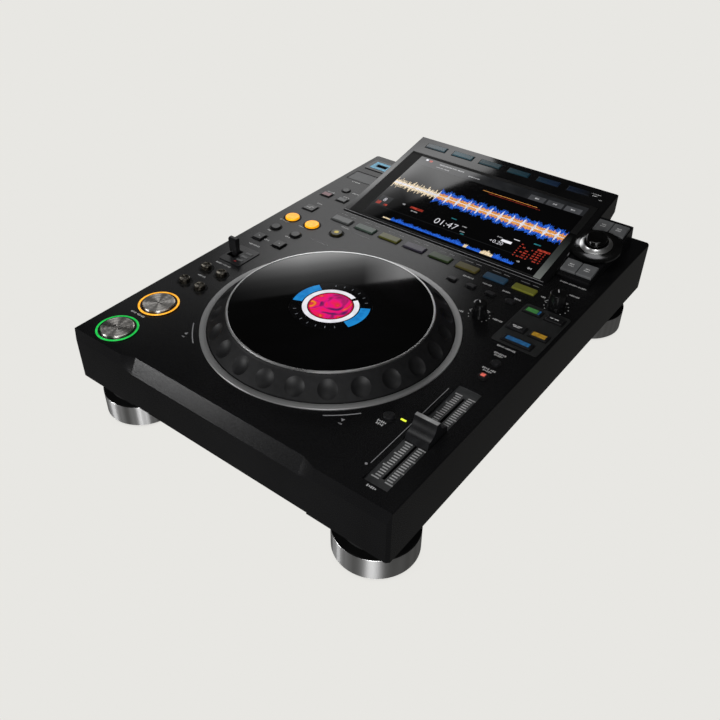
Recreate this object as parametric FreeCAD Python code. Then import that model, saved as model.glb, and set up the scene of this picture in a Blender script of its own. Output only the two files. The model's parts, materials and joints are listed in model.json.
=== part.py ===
import FreeCAD, Part
import math
import os

# Tabletop media player for mixing music, in millimetres.
# The origin is on the table under the middle of the player: +X is right, +Y is back, +Z is up.

# Overall sizes
player_width = 329.0
player_depth = 453.0
player_height = 118.0
display_overhang = 19.0      # how far the screen block reaches past the rear wall
underside_z = 37.5
panel_z = 87.0               # top of the control panel
wall = 2.5
half_width = player_width / 2
front_y = -player_depth / 2
display_rear_y = player_depth / 2
rear_y = display_rear_y - display_overhang

# Gaps between pieces
key_gap = 0.4                # round each key in its window
moving_gap = 0.3             # between faces of two moving bodies
seat_gap = 0.2               # between two pieces that don't move
past = 1.0                   # how far a cutting shape runs past what it cuts
tiny = 1e-6                  # two places nearer than this are the same

# Case
corner_chamfer = 2.5
edge_round = 1.2
bevel_run = 2.6              # front bevel at both ends
bevel_drop = 10.0
hollow_run = 7.0             # deeper bevel in the middle of the front
hollow_drop = 12.8
hollow_left_x = -half_width + 66.5
hollow_right_x = half_width - 72.5
hollow_end = 13.0            # length of the slanted ends of the deeper bevel
skirt_lift = 1.5             # the front wall is this much shorter between the feet
chassis_sheet = 1.5
chassis_lip = 12.0
screw_head_r = 3.2
screw_head_height = 1.6
screw_inset = 10.0           # least distance from a screw to the front and rear walls

# Feet
foot_x = half_width - 34.5
foot_front_y = -192.0
foot_rear_y = 171.0
foot_r = 34.0
foot_ring_wall = 6.0
foot_ring_low_z = 1.5
foot_ring_top_z = 23.5
foot_neck_r = 27.0
foot_neck_wall = 4.0
foot_edge = 1.0
foot_pad_r = 27.5

# Jog dial
jog_x = 1.5
jog_y = -85.0
trim_extra = 1.33            # the silver ring's radius is a third of the width and this
trim_width = 6.0
trim_outer_r = player_width / 3 + trim_extra
trim_inner_r = trim_outer_r - trim_width
trim_height = 1.0
dial_skirt_height = 1.8      # upright skirt above the panel
dial_slope_run = 15.5
dial_shoulder_r = trim_inner_r - dial_slope_run
dial_shoulder_rise = 14.8
dial_top_rise = 16.0
dial_wall = 3.0
dial_edge = 1.2
plate_margin = 3.7
plate_r = dial_shoulder_r - plate_margin
plate_rise = 17.0
plate_thickness = 2.2
rim_width = 2.0
rim_rise = 17.4
rim_edge = 0.6
dial_hub_wall = 4.0
dial_hub_drop = 3.0          # how far the hub reaches below the skirt
dial_skirt_step = 1.0
dial_below_panel = 3.5
dimple_count = 24
dimple_r = 8.2               # radius of each dish where it meets the dial
dimple_depth = 2.4
jog_window_r = 35.0
post_r = 34.0
jog_base_margin = 7.0
jog_base_r = trim_inner_r - jog_base_margin
jog_base_sheet = 2.5
jog_base_drop = 17.0         # base pan below the panel
jog_base_lip = 5.0
bearing_r = 44.0

# Screen block, with sizes along its slope measured from its front edge
display_x = jog_x
display_side_room = 96.0     # left of and right of the block, for the card door and the selector
display_width = player_width - display_side_room
display_front_y = 79.3
display_lip = 0.9
display_edge = 1.5
display_tail_height = 20.0   # rear wall of the screen block
display_length = math.hypot(display_rear_y - display_front_y, player_height - panel_z - display_lip)
glass_x = 1.5
glass_side = 7.0             # bezel left and right of the glass
glass_width = display_width - 2 * glass_side
glass_front_v = 2.2
menu_strip = 29.05           # behind the glass, for the menu keys
glass_length = display_length - glass_front_v - menu_strip
glass_thickness = 2.0
screen_x = glass_x + 3.4
screen_side_margin = 11.0
screen_end_margin = 3.5
screen_width = glass_width - 2 * screen_side_margin
screen_length = glass_length - 2 * screen_end_margin
screen_front_v = 4.4
screen_border = 4.0
screen_module_thickness = 6.0
menu_key_count = 6
menu_key_width = 24.0
menu_key_length = 7.0
menu_key_left = 27.5         # from the block's left side to the first key
menu_key_right = 35.5
menu_key_pitch = (display_width - menu_key_left - menu_key_right) / (menu_key_count - 1)
menu_key_first_x = display_x - display_width / 2 + menu_key_left
menu_key_v = glass_front_v + glass_length + 15.3
menu_key_rise = 1.2
menu_key_body = 4.0
menu_key_travel = 0.8

# Selector block beside the screen
selector_x = display_x + display_width / 2 + 16.2
selector_v = 66.0
selector_block_width = 32.2
selector_block_length = 93.0
selector_block_drop = 1.5    # its face below the face of the screen block
selector_block_depth = 60.0  # of the slab that the wedge is cut from
selector_block_edge = 1.0
selector_base_r = 23.3
selector_neck_r = 11.0
selector_cap_r = 9.6
selector_skirt_height = 1.8
selector_neck_height = 7.4
selector_cap_height = 5.5
selector_cap_edge = 1.6
selector_cap_sunk = 1.4      # part of the cap inside the neck
selector_push = 0.8
selector_shaft_r = 3.0
selector_shaft_depth = 9.0
selector_key_pitch = 15.4
selector_key_offset = 32.6
selector_key_width = 14.6
selector_key_length = 16.4
selector_ring_gap = 1.6      # between the knob's skirt and the hollow sides of the keys
selector_key_rise = 2.0
selector_key_body = 2.2
selector_key_travel = 0.8

# Keys and knobs on the panel
key_travel = 1.0
key_flange = 1.2             # rim under the panel that keeps a key in
key_flange_thickness = 1.2
key_chamfer = 0.5
key_corner = 1.0
small_key_corner = 0.8
mode_key_corner = 2.4
stem_r = 1.6
board_thickness = 1.6
board_z = 79.0               # top of the control board
transport_x = -half_width + 30.5
play_y = -203.0
cue_y = -157.0
transport_r = 14.2
transport_rise = 2.4
transport_dish = 0.5
transport_edge = 1.0         # flat rim round the dish
ring_outer_r = 18.2
ring_inner_r = 14.8
ring_rise = 1.0
ring_edge = 0.3
search_pitch = 19.6
search_y = -117.2
track_y = -89.8
search_r = 4.9
search_rise = 4.2
search_edge = 0.8
search_dish = 0.9
beat_x = -half_width + 33.1
beat_pitch = 26.0
beat_y = -16.5
beat_key_side = 10.5
loop_cut_y = 7.7
loop_cut_r = 4.8
loop_y = 33.2
loop_r = 7.2
low_rise = 1.2
tall_rise = 2.0
exit_key_x = -half_width + 76.2
exit_key_y = 35.2
exit_key_r = 5.8
slip_key_x = -half_width + 21.3
slip_key_y = 60.3
slip_key_width = 13.0
slip_key_length = 11.0
source_x = -half_width + 26.4
source_pitch = 21.0
source_y = 94.3
source_width = 11.5
source_length = 8.0
eject_key_x = -half_width + 26.7
eject_key_y = 114.3
eject_key_r = 4.2
hot_cue_letters = "abcdefgh"
hot_cue_left = 15.0          # from the screen block's left side to the first key
hot_cue_right = 10.8
hot_cue_first_x = display_x - display_width / 2 + hot_cue_left
hot_cue_pitch = (display_width - hot_cue_left - hot_cue_right) / (len(hot_cue_letters) - 1)
hot_cue_y = 60.0
hot_cue_width = 22.0
hot_cue_length = 9.0
hot_cue_rise = 1.8
mode_key_count = 4
mode_key_first_x = display_x + 45.5
mode_key_pitch = hot_cue_pitch * 2 / 3
mode_key_y = 35.3
mode_key_width = 8.6
mode_key_length = 5.6
sync_plate_x = half_width - 24.3
sync_plate_y = 10.5
sync_plate_width = 42.0
sync_plate_length = 64.0
sync_plate_thickness = 0.6
sync_plate_corner = 3.0
sync_pitch = 20.4
sync_row_y = 33.0
master_row_y = 4.0
wide_key_y = -13.5
sync_key_width = 15.5
sync_key_length = 8.5
wide_key_width = 26.0
reset_key_x = half_width - 55.5
reset_key_y = -150.3
reset_key_r = 4.4
range_x = half_width - 24.7
range_key_y = -48.0
master_key_y = -68.3
range_key_r = 3.6

# Knobs
vinyl_knob_x = half_width - 69.2
vinyl_knob_y = 1.0
vinyl_knob_r = 6.6
vinyl_knob_height = 13.0
brake_knob_x = half_width - 22.6
brake_knob_y = 52.5
brake_knob_r = 8.0
brake_knob_height = 15.0
knob_shaft_r = 3.0
knob_shaft_depth = 14.0
knob_flute_count = 10
knob_flute_r = 1.2
knob_edge = 0.7
knob_top_gain = 1.0          # the top's radius is this much less than the foot's
pot_side = 13.0
pot_height = 7.0
pot_floor = 1.0

# Direction lever
lever_x = -half_width + 23.5
lever_y = -54.6
lever_width = 9.0
lever_length = 4.6
lever_rise = 18.0
lever_root = 3.0             # height of the grip's foot above the panel
lever_crown = 1.2
lever_tip_length = 5.7
lever_crest = 2.8
lever_stick_width = 5.0
lever_stick_length = 3.7
lever_slot_gap = 0.7
lever_slot_slack = 2.4
ear_overlap = 0.5            # of the lever's ears with the control board
lever_pivot_drop = 10.0
lever_pivot_r = 2.5
lever_range = 16.0           # degrees each way
board_gap_edge = 8.5         # from the lever's middle to the edge of the gap in the board
lever_plate_width = 26.0
lever_plate_length = 30.0
lever_plate_thickness = 0.8
lever_plate_shift = 6.0
plate_corner = 2.0

# Tempo fader
fader_x = half_width - 24.3
fader_y = -148.2
fader_recess_width = 21.0
fader_recess_length = 125.0
fader_recess_depth = 3.2
fader_plate_thickness = 1.2
fader_slot_width = 2.4
fader_travel = 48.0          # each way
fader_knob_width = 19.4
fader_knob_length = 26.0
fader_knob_rise = 14.0
fader_knob_base = 4.0
fader_ridge = 4.4
fader_knob_toe = 1.0
fader_curve_y = 5.5          # middle point of the knob's hollow sides
fader_curve_rise = 2.6
fader_strip_width = 3.2
fader_strip_height = 0.5
fader_stem_width = 1.6
fader_stem_length = 5.0
fader_track_depth = 12.0
fader_track_width = 14.0
fader_track_end = 5.0
fader_track_floor = 2.0
fader_slot_slack = 4.0
fader_slot_length = 2 * fader_travel + fader_stem_length + fader_slot_slack

# Card door and memory socket at the rear left
card_door_x = -half_width + 23.0
card_door_y = 151.0
card_door_width = 31.0
card_door_length = 19.0
card_door_thickness = 1.6
card_slot_width = 25.0
card_slot_length = 2.8
card_reader_side = 3.0
card_reader_end = 4.0
card_reader_depth = 26.0
card_reader_floor = 4.0
socket_x = -half_width + 23.5
socket_y = 184.6
socket_bezel_width = 33.0
socket_bezel_length = 24.0
socket_bezel_rise = 0.8
socket_width = 13.0
socket_length = 5.6
socket_depth = 14.0
socket_wall = 1.5
socket_floor = 2.0

# Rear panel and what sits in it
rear_window_width = player_width - 29.0
rear_window_low_z = 43.0
rear_window_top_z = 81.0
rear_sheet = 1.5
rear_set_back = 1.0
rear_shell_depth = 14.0
inlet_x = half_width - 46.5
inlet_width = 27.0
inlet_height = 20.0
inlet_flange = 4.0
inlet_mouth_width = 22.0
inlet_mouth_height = 14.0
inlet_mouth_depth = 14.0
inlet_pin_length = 8.5
inlet_pin_width = 2.0
inlet_pin_height = 4.0
inlet_pin_pitch = 6.0
inlet_pin_drop = 1.5
inlet_earth_raise = 2.0
inlet_back = 4.0
inlet_flange_reach = 1.0
rear_row_z = 62.0
switch_x = half_width - 84.5
switch_width = 13.0
switch_height = 19.0
switch_rim = 1.5
switch_depth = 8.0
rocker_gap = 1.2             # above and below the rocker, so that it can tip
rocker_horn = 1.3            # how far its ends stand out past its middle
rocker_depth = 5.0
rocker_shoulder = 1.6        # how far the shoulders lie behind the rear face
rocker_reach = 0.8
rocker_heel_height = 6.0
rocker_pivot_depth = 2.8
rocker_pin_r = 1.2
rocker_pin_reach = 0.9       # into each side of the cage
jack_r = 4.1
jack_nut_r = 6.5
jack_reach = 8.0
jack_hole_r = 1.7
jack_nut_thickness = 1.6
jack_hole_depth = 2.0
jack_first_x = -half_width + 102.5
jack_pitch = 22.0
jack_count = 3
network_x = -half_width + 60.5
network_width = 16.0
network_height = 14.0
network_mouth_width = 11.8
network_mouth_height = 8.0
network_mouth_depth = 10.0
network_back = 4.0
network_reach = 0.6

# Inner boards
supply_width = 90.0
supply_length = 70.0
supply_height = 22.0
supply_x = half_width - 64.5
supply_y = 150.0
main_board_width = player_width - 159.0
main_board_length = 110.0
main_board_x = -half_width + 29.5 + main_board_width / 2
main_board_y = 130.0
standoff = 6.0
board_foot_r = 3.0
board_foot_inset = 6.0
board_margin = 4.0           # from the control board to the case walls
board_dial_gap = 3.0
board_gap = 2.0
board_lever_slack = 6.0
board_card_slack = 12.0
board_card_reach = 30.0

display_top_z = player_height
display_slope = math.atan2(display_top_z - panel_z - display_lip, display_rear_y - display_front_y)
slope_degrees = math.degrees(display_slope)
panel_under_z = panel_z - wall
chassis_z = underside_z + 0.5
axis_z = FreeCAD.Vector(0, 0, 1)


def vector(x, y, z):
    return FreeCAD.Vector(x, y, z)


def block(x, y, width, length, low, high):
    return Part.makeBox(width, length, high - low, vector(x - width / 2, y - length / 2, low))


def upright_edges(shape):
    found = []
    for edge in shape.Edges:
        first, last = edge.Vertexes[0].Point, edge.Vertexes[-1].Point
        if abs(first.x - last.x) < tiny and abs(first.y - last.y) < tiny:
            found.append(edge)
    return found


def edges_at(shape, z):
    return [edge for edge in shape.Edges if all(abs(v.Z - z) < tiny for v in edge.Vertexes)]


def rounded_block(x, y, width, length, low, high, radius):
    shape = block(x, y, width, length, low, high)
    return shape.makeFillet(radius, upright_edges(shape))


def drum(x, y, radius, low, high):
    return Part.makeCylinder(radius, high - low, vector(x, y, low))


def hoop(x, y, outer, inner, low, high):
    return drum(x, y, outer, low, high).cut(drum(x, y, inner, low, high))


def turned(points, x, y):
    # a solid of revolution from corners given as (radius, height)
    corners = [vector(radius, 0, height) for radius, height in points]
    outline = Part.makePolygon(corners + corners[:1])
    solid = Part.Face(outline).revolve(vector(0, 0, 0), axis_z, 360)
    solid.translate(vector(x, y, 0))
    return solid


def prism_along_x(points, x_low, x_high):
    # a solid whose side view is given as (y, z)
    corners = [vector(x_low, y, z) for y, z in points]
    outline = Part.makePolygon(corners + corners[:1])
    return Part.Face(outline).extrude(vector(x_high - x_low, 0, 0))


def fuse_all(shapes):
    result = shapes[0]
    for shape in shapes[1:]:
        result = result.fuse(shape)
    return result.removeSplitter()


def cut_all(shape, tools):
    return shape.cut(Part.makeCompound(tools))


def on_display(shape):
    # from the flat frame of the screen block (x, along the slope, above its face) to its place
    shape = shape.copy()
    shape.rotate(vector(0, 0, 0), vector(1, 0, 0), slope_degrees)
    shape.translate(vector(0, display_front_y, panel_z + display_lip))
    return shape


def save(shape, name):
    if not shape.isValid():
        print("not valid:", name)
    shape.exportStep("parts/" + name + ".step")


# Outlines shared by a key and its window

def round_outline(x, y, radius):
    return lambda grow, low, high: drum(x, y, radius + grow, low, high)


def square_outline(x, y, width, length, corner):
    def outline(grow, low, high):
        return rounded_block(x, y, width + 2 * grow, length + 2 * grow, low, high, corner + grow)
    return outline


def spread(first, pitch, count):
    return [first + pitch * index for index in range(count)]


def pair(middle, pitch):
    return spread(middle - pitch / 2, pitch, 2)


def panel_key(outline, rise, center):
    # cap through its window, a rim under the panel and a stem over its switch
    cap = outline(0, panel_under_z - key_gap - key_flange_thickness, panel_z + rise)
    cap = cap.makeChamfer(key_chamfer, edges_at(cap, panel_z + rise))
    rim = outline(key_flange + key_gap, panel_under_z - moving_gap - key_flange_thickness,
                  panel_under_z - moving_gap)
    stem = drum(center[0], center[1], stem_r, board_z + key_travel + moving_gap, panel_under_z)
    return fuse_all([cap, rim, stem])


play_outline = round_outline(transport_x, play_y, transport_r)
cue_outline = round_outline(transport_x, cue_y, transport_r)

search_places = [(x, search_y) for x in pair(transport_x, search_pitch)]
track_places = [(x, track_y) for x in pair(transport_x, search_pitch)]
beat_places = [(x, beat_y) for x in pair(beat_x, beat_pitch)]
loop_cut_places = [(x, loop_cut_y) for x in pair(beat_x, beat_pitch)]
loop_places = [(x, loop_y) for x in pair(beat_x, beat_pitch)]
hot_cue_places = [(x, hot_cue_y) for x in spread(hot_cue_first_x, hot_cue_pitch, len(hot_cue_letters))]
mode_places = [(x, mode_key_y) for x in spread(mode_key_first_x, mode_key_pitch, mode_key_count)]
source_places = [(x, source_y) for x in pair(source_x, source_pitch)]
sync_places = [(x, sync_row_y) for x in pair(sync_plate_x, sync_pitch)]
master_places = [(x, master_row_y) for x in pair(sync_plate_x, sync_pitch)]


def round_members(places, radius, rise):
    return [(round_outline(*place, radius), rise, place) for place in places]


def square_members(places, width, length, corner, rise):
    return [(square_outline(*place, width, length, corner), rise, place) for place in places]


def panel_keys():
    # every sprung key of the panel: name to a list of (outline, rise, center)
    keys = {
        "play_button": round_members([(transport_x, play_y)], transport_r, transport_rise),
        "cue_button": round_members([(transport_x, cue_y)], transport_r, transport_rise),
        "search_keys": round_members(search_places, search_r, search_rise),
        "track_keys": round_members(track_places, search_r, search_rise),
        "beat_keys": square_members(beat_places, beat_key_side, beat_key_side, key_corner, tall_rise),
        "loop_size_keys": round_members(loop_cut_places, loop_cut_r, tall_rise),
        "loop_in_key": round_members(loop_places[:1], loop_r, tall_rise),
        "loop_out_key": round_members(loop_places[1:], loop_r, tall_rise),
        "loop_exit_key": round_members([(exit_key_x, exit_key_y)], exit_key_r, tall_rise),
        "mode_keys": square_members(mode_places, mode_key_width, mode_key_length, mode_key_corner, tall_rise),
        "tempo_keys": round_members([(reset_key_x, reset_key_y)], reset_key_r, tall_rise)
        + round_members([(range_x, range_key_y), (range_x, master_key_y)], range_key_r, tall_rise),
        "media_keys": square_members(source_places, source_width, source_length, small_key_corner, low_rise)
        + square_members([(slip_key_x, slip_key_y)], slip_key_width, slip_key_length, small_key_corner,
                         low_rise)
        + round_members([(eject_key_x, eject_key_y)], eject_key_r, low_rise),
        "sync_keys": square_members(sync_places + master_places, sync_key_width, sync_key_length,
                                    key_corner, tall_rise)
        + square_members([(sync_plate_x, wide_key_y)], wide_key_width, sync_key_length, key_corner,
                         tall_rise),
    }
    for letter, place in zip(hot_cue_letters, hot_cue_places):
        keys["hot_cue_key_" + letter] = square_members([place], hot_cue_width, hot_cue_length,
                                                       key_corner, hot_cue_rise)
    return keys


def key_windows(keys):
    windows = []
    for members in keys.values():
        for outline, rise, center in members:
            windows.append(outline(key_gap, panel_under_z - past, panel_z + past))
    return windows


def make_keys(keys):
    for name, members in keys.items():
        solids = [panel_key(outline, rise, center) for outline, rise, center in members]
        if name in ("play_button", "cue_button"):
            solids = [dish_top(solids[0], members[0][2])]
        if name in ("search_keys", "track_keys"):
            solids = [cup_top(solid, member[2]) for solid, member in zip(solids, members)]
        save(Part.makeCompound(solids) if len(solids) > 1 else solids[0], name)


def sunk_ball(x, y, radius, depth, top):
    # a ball that cuts a dish of this radius and depth into a flat top
    ball_r = (radius ** 2 + depth ** 2) / (2 * depth)
    return Part.makeSphere(ball_r, vector(x, y, top - depth + ball_r))


def dish_top(solid, center):
    top = panel_z + transport_rise
    return solid.cut(sunk_ball(*center, transport_r - transport_edge, transport_dish, top))


def cup_top(solid, center):
    return solid.cut(sunk_ball(*center, search_r - search_edge, search_dish, panel_z + search_rise))


# Case

def case_outline(inset, low):
    run, drop = bevel_run, bevel_drop
    top = panel_z - inset
    points = [(front_y + inset, low), (front_y + inset, panel_z - drop), (front_y + run + inset, top),
              (rear_y - inset, top), (rear_y - inset, low)]
    return prism_along_x(points, -half_width + inset, half_width - inset)


def front_hollow():
    # the deeper bevel: a wedge whose two ends run out slantwise
    def section(x, run, drop):
        slack = 4 * past
        corners = [vector(x, front_y, panel_z - drop), vector(x, front_y + run, panel_z),
                   vector(x, front_y + run, panel_z + slack), vector(x, front_y - slack, panel_z + slack),
                   vector(x, front_y - slack, panel_z - drop)]
        return Part.makePolygon(corners + corners[:1])
    half_end = hollow_end / 2
    stations = [(hollow_left_x - half_end, bevel_run, bevel_drop),
                (hollow_left_x + half_end, hollow_run, hollow_drop),
                (hollow_right_x - half_end, hollow_run, hollow_drop),
                (hollow_right_x + half_end, bevel_run, bevel_drop)]
    sections = [section(*station) for station in stations]
    parts = [Part.makeLoft([first, last], True, True) for first, last in zip(sections, sections[1:])]
    return fuse_all(parts)


def rear_window(grow, low_y, high_y):
    width = rear_window_width + 2 * grow
    return Part.makeBox(width, high_y - low_y, rear_window_top_z - rear_window_low_z + 2 * grow,
                        vector(-width / 2, low_y, rear_window_low_z - grow))


def upper_case(keys):
    shell = case_outline(0, underside_z)
    shell = shell.makeChamfer(corner_chamfer, upright_edges(shell))
    long_edges = [edge for edge in edges_at(shell, panel_z)
                  if abs(edge.Vertexes[0].X - edge.Vertexes[-1].X) < tiny]
    shell = shell.makeFillet(edge_round, long_edges)
    # the wall stays thick behind the deeper bevel
    backing = prism_along_x([(front_y, panel_z - hollow_drop - 2 * wall), (front_y, panel_z),
                             (front_y + hollow_run + 2 * wall, panel_z)],
                            hollow_left_x - hollow_end, hollow_right_x + hollow_end)
    inside = case_outline(wall, underside_z - past).cut(backing)
    shell = shell.cut(inside).cut(front_hollow())
    skirt = block((hollow_left_x + hollow_right_x) / 2, front_y, hollow_right_x - hollow_left_x, 4 * wall,
                  underside_z - past, underside_z + skirt_lift)
    low, high = panel_under_z - past, panel_z + past
    card_pocket = block(card_door_x, card_door_y, card_door_width + 2 * key_gap,
                        card_door_length + 2 * key_gap, panel_z - card_door_thickness - key_gap, high)
    socket_margin = 2 * (socket_wall + key_gap)
    tools = [skirt, card_pocket, lever_slot(),
             drum(jog_x, jog_y, trim_inner_r, low, high),
             block(fader_x, fader_y, fader_recess_width, fader_recess_length, low, high),
             block(card_door_x, card_door_y, card_slot_width, card_slot_length, low, high),
             block(socket_x, socket_y, socket_width + socket_margin, socket_length + socket_margin, low, high),
             rear_window(0, rear_y - 2 * wall, rear_y + past),
             on_display(glass_block(2 * seat_gap, 2 * seat_gap, past)),
             on_display(screen_block(2 * seat_gap, past)),
             drum(vinyl_knob_x, vinyl_knob_y, knob_shaft_r + key_gap, low, high),
             drum(brake_knob_x, brake_knob_y, knob_shaft_r + key_gap, low, high)]
    return cut_all(shell, tools + key_windows(keys))


def lever_slot_length():
    # long enough for the lever to lean to both ends
    lean = math.radians(lever_range)
    reach = math.tan(lean) * (lever_pivot_drop + past)
    return lever_length / math.cos(lean) + 2 * reach + lever_slot_slack


def lever_slot():
    return rounded_block(lever_x, lever_y, lever_width + 2 * lever_slot_gap, lever_slot_length(),
                         panel_under_z - past, panel_z + 2 * past, key_corner)


def lower_chassis():
    inset = wall + seat_gap
    width = player_width - 2 * inset
    length = rear_y - front_y - 2 * inset
    middle_y = (rear_y + front_y) / 2
    tray = block(0, middle_y, width, length, chassis_z, chassis_z + chassis_lip)
    tray = tray.makeChamfer(corner_chamfer, upright_edges(tray))
    hollow = block(0, middle_y, width - 2 * chassis_sheet, length - 2 * chassis_sheet,
                   chassis_z + chassis_sheet, chassis_z + chassis_lip + past)
    rear_gap = rear_window(past, rear_y - 4 * wall, rear_y)
    necks = [hoop(x, y, foot_neck_r, foot_neck_r - foot_neck_wall, foot_ring_top_z,
                  chassis_z + chassis_sheet / 2) for x, y in foot_places()]
    return fuse_all([tray.cut(hollow).cut(rear_gap)] + necks)


def foot_places():
    return [(x, y) for x in (-foot_x, foot_x) for y in (foot_front_y, foot_rear_y)]


def feet():
    rings, pads = [], []
    for x, y in foot_places():
        cup = drum(x, y, foot_r, foot_ring_low_z, foot_ring_top_z)
        cup = cup.makeChamfer(foot_edge, edges_at(cup, foot_ring_low_z) + edges_at(cup, foot_ring_top_z))
        hollow = drum(x, y, foot_r - foot_ring_wall, foot_ring_low_z - past, foot_ring_low_z + foot_ring_wall)
        rings.append(cup.cut(hollow))
        pads.append(drum(x, y, foot_pad_r, 0, foot_ring_low_z + foot_ring_wall))
    save(Part.makeCompound(rings), "foot_cups")
    save(Part.makeCompound(pads), "foot_pads")


def chassis_screws():
    heads = []
    for x, y in foot_places():
        for step in (1, -1):
            place_y = y + step * (foot_r + 3 * screw_head_r)
            if front_y + screw_inset < place_y < rear_y - screw_inset:
                heads.append(drum(x, place_y, screw_head_r, chassis_z - screw_head_height, chassis_z))
    save(Part.makeCompound(heads), "chassis_screws")


# Jog dial and its seat

def jog_trim():
    top = panel_z + trim_height
    ring = hoop(jog_x, jog_y, trim_outer_r, trim_inner_r, panel_z, top)
    return ring.makeChamfer(trim_height / 3, edges_at(ring, top))


def dial_profile():
    skirt_r = trim_inner_r - 2 * moving_gap
    low = panel_z - dial_below_panel
    hub_low = low - dial_hub_drop
    skirt_top = panel_z + dial_skirt_height
    ledge = panel_z + dial_top_rise
    top = panel_z + plate_rise - plate_thickness
    under = top - dial_wall
    bore = post_r + moving_gap
    return [(skirt_r, low), (skirt_r, skirt_top), (dial_shoulder_r, panel_z + dial_shoulder_rise),
            (dial_shoulder_r - dial_edge, ledge), (plate_r + rim_width, ledge),
            (plate_r + rim_width, top), (bore, top), (bore, hub_low), (bore + dial_hub_wall, hub_low),
            (bore + dial_hub_wall, under), (dial_shoulder_r - dial_wall, under),
            (skirt_r - dial_wall, skirt_top - dial_skirt_step), (skirt_r - dial_wall, low)]


def jog_dial():
    dial = turned(dial_profile(), jog_x, jog_y)
    skirt_r = trim_inner_r - 2 * moving_gap
    run = skirt_r - dial_shoulder_r
    rise = dial_shoulder_rise - dial_skirt_height
    slant = math.hypot(run, rise)
    out, up = rise / slant, run / slant
    middle_r = (skirt_r + dial_shoulder_r) / 2
    middle_z = panel_z + (dial_shoulder_rise + dial_skirt_height) / 2
    ball_r = (dimple_r ** 2 + dimple_depth ** 2) / (2 * dimple_depth)
    lift = ball_r - dimple_depth
    balls = []
    for index in range(dimple_count):
        turn = 2 * math.pi * (index + 0.5) / dimple_count
        reach = middle_r + lift * out
        place = vector(jog_x + reach * math.cos(turn), jog_y + reach * math.sin(turn), middle_z + lift * up)
        balls.append(Part.makeSphere(ball_r, place))
    return cut_all(dial, balls)


def jog_plate():
    top = panel_z + plate_rise
    return hoop(jog_x, jog_y, plate_r, jog_window_r + moving_gap, top - plate_thickness, top)


def jog_rim():
    low = panel_z + plate_rise - plate_thickness
    top = panel_z + rim_rise
    outer = plate_r + rim_width
    points = [(plate_r, low), (outer, low), (outer, top - rim_edge), (outer - rim_edge, top),
              (plate_r + rim_edge / 2, top), (plate_r, top - rim_edge / 2)]
    return turned(points, jog_x, jog_y)


def jog_base():
    floor = panel_z - jog_base_drop
    sheet_top = floor + jog_base_sheet
    post_top = panel_z + plate_rise - 2 * plate_thickness
    race_top = panel_z - dial_below_panel - dial_hub_drop - moving_gap
    points = [(0, floor), (jog_base_r, floor), (jog_base_r, floor + jog_base_lip),
              (jog_base_r - jog_base_sheet, floor + jog_base_lip), (jog_base_r - jog_base_sheet, sheet_top),
              (bearing_r, sheet_top), (bearing_r, race_top), (post_r, race_top), (post_r, post_top),
              (0, post_top)]
    return turned(points, jog_x, jog_y)


def jog_window():
    top = panel_z + plate_rise
    post_top = top - 2 * plate_thickness
    lower = drum(jog_x, jog_y, post_r, post_top, top)
    upper = drum(jog_x, jog_y, jog_window_r, top - plate_thickness + moving_gap, top)
    return fuse_all([lower, upper])


# Screen block

def display_housing():
    front_z = panel_z + display_lip
    tail_z = display_top_z - display_tail_height
    points = [(display_front_y, panel_z), (display_front_y, front_z), (display_rear_y, display_top_z),
              (display_rear_y, tail_z), (rear_y, panel_z)]
    left, right = display_x - display_width / 2, display_x + display_width / 2
    housing = prism_along_x(points, left, right)
    side_edges = [edge for edge in housing.Edges if abs(edge.Length - display_length) < tiny]
    housing = housing.makeChamfer(display_edge, side_edges + edges_at(housing, display_top_z))
    pockets = [on_display(glass_block(seat_gap, seat_gap, past)), on_display(screen_block(seat_gap, 0))]
    for x in menu_key_xs():
        pocket = block(x, menu_key_v, menu_key_width + 2 * key_gap, menu_key_length + 2 * key_gap,
                       -menu_key_body - menu_key_travel - moving_gap, past)
        pockets.append(on_display(pocket))
    return cut_all(housing, pockets)


def menu_key_xs():
    return spread(menu_key_first_x, menu_key_pitch, menu_key_count)


def screen_block(grow, top):
    return block(screen_x, screen_front_v + screen_length / 2, screen_width + screen_border + 2 * grow,
                 screen_length + screen_border / 4 + 2 * grow,
                 -glass_thickness - screen_module_thickness - grow, top)


def glass_block(grow, sink, top):
    return block(glass_x, glass_front_v + glass_length / 2, glass_width + 2 * grow, glass_length + 2 * grow,
                 -glass_thickness - sink, top)


def display_parts():
    save(on_display(glass_block(0, 0, 0)), "display_glass")
    save(on_display(screen_block(0, -glass_thickness)), "screen_module")
    keys = []
    for x in menu_key_xs():
        key = block(x, menu_key_v, menu_key_width, menu_key_length, -menu_key_body, menu_key_rise)
        key = key.makeChamfer(key_chamfer, edges_at(key, menu_key_rise))
        keys.append(on_display(key))
    save(Part.makeCompound(keys), "menu_keys")


# Selector block

def selector_floor():
    return -selector_block_drop


def selector_housing():
    # a wedge on the panel beside the screen block
    floor = selector_floor()
    left = display_x + display_width / 2 + seat_gap
    slab = Part.makeBox(selector_block_width, selector_block_length, selector_block_depth,
                        vector(left, selector_v - selector_block_length / 2, floor - selector_block_depth))
    slab = on_display(slab.makeChamfer(selector_block_edge, edges_at(slab, floor)))
    below = block(left, (display_front_y + display_rear_y) / 2, player_width, player_depth, 0, panel_z)
    shaft_floor = floor - selector_shaft_depth - moving_gap
    pockets = [on_display(drum(selector_x, selector_v, selector_shaft_r + moving_gap, shaft_floor, past))]
    for outline in selector_key_outlines():
        depth = floor - selector_key_body - selector_key_travel - moving_gap
        pockets.append(on_display(outline(key_gap, depth, past)))
    return cut_all(slab.cut(below), pockets)


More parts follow.
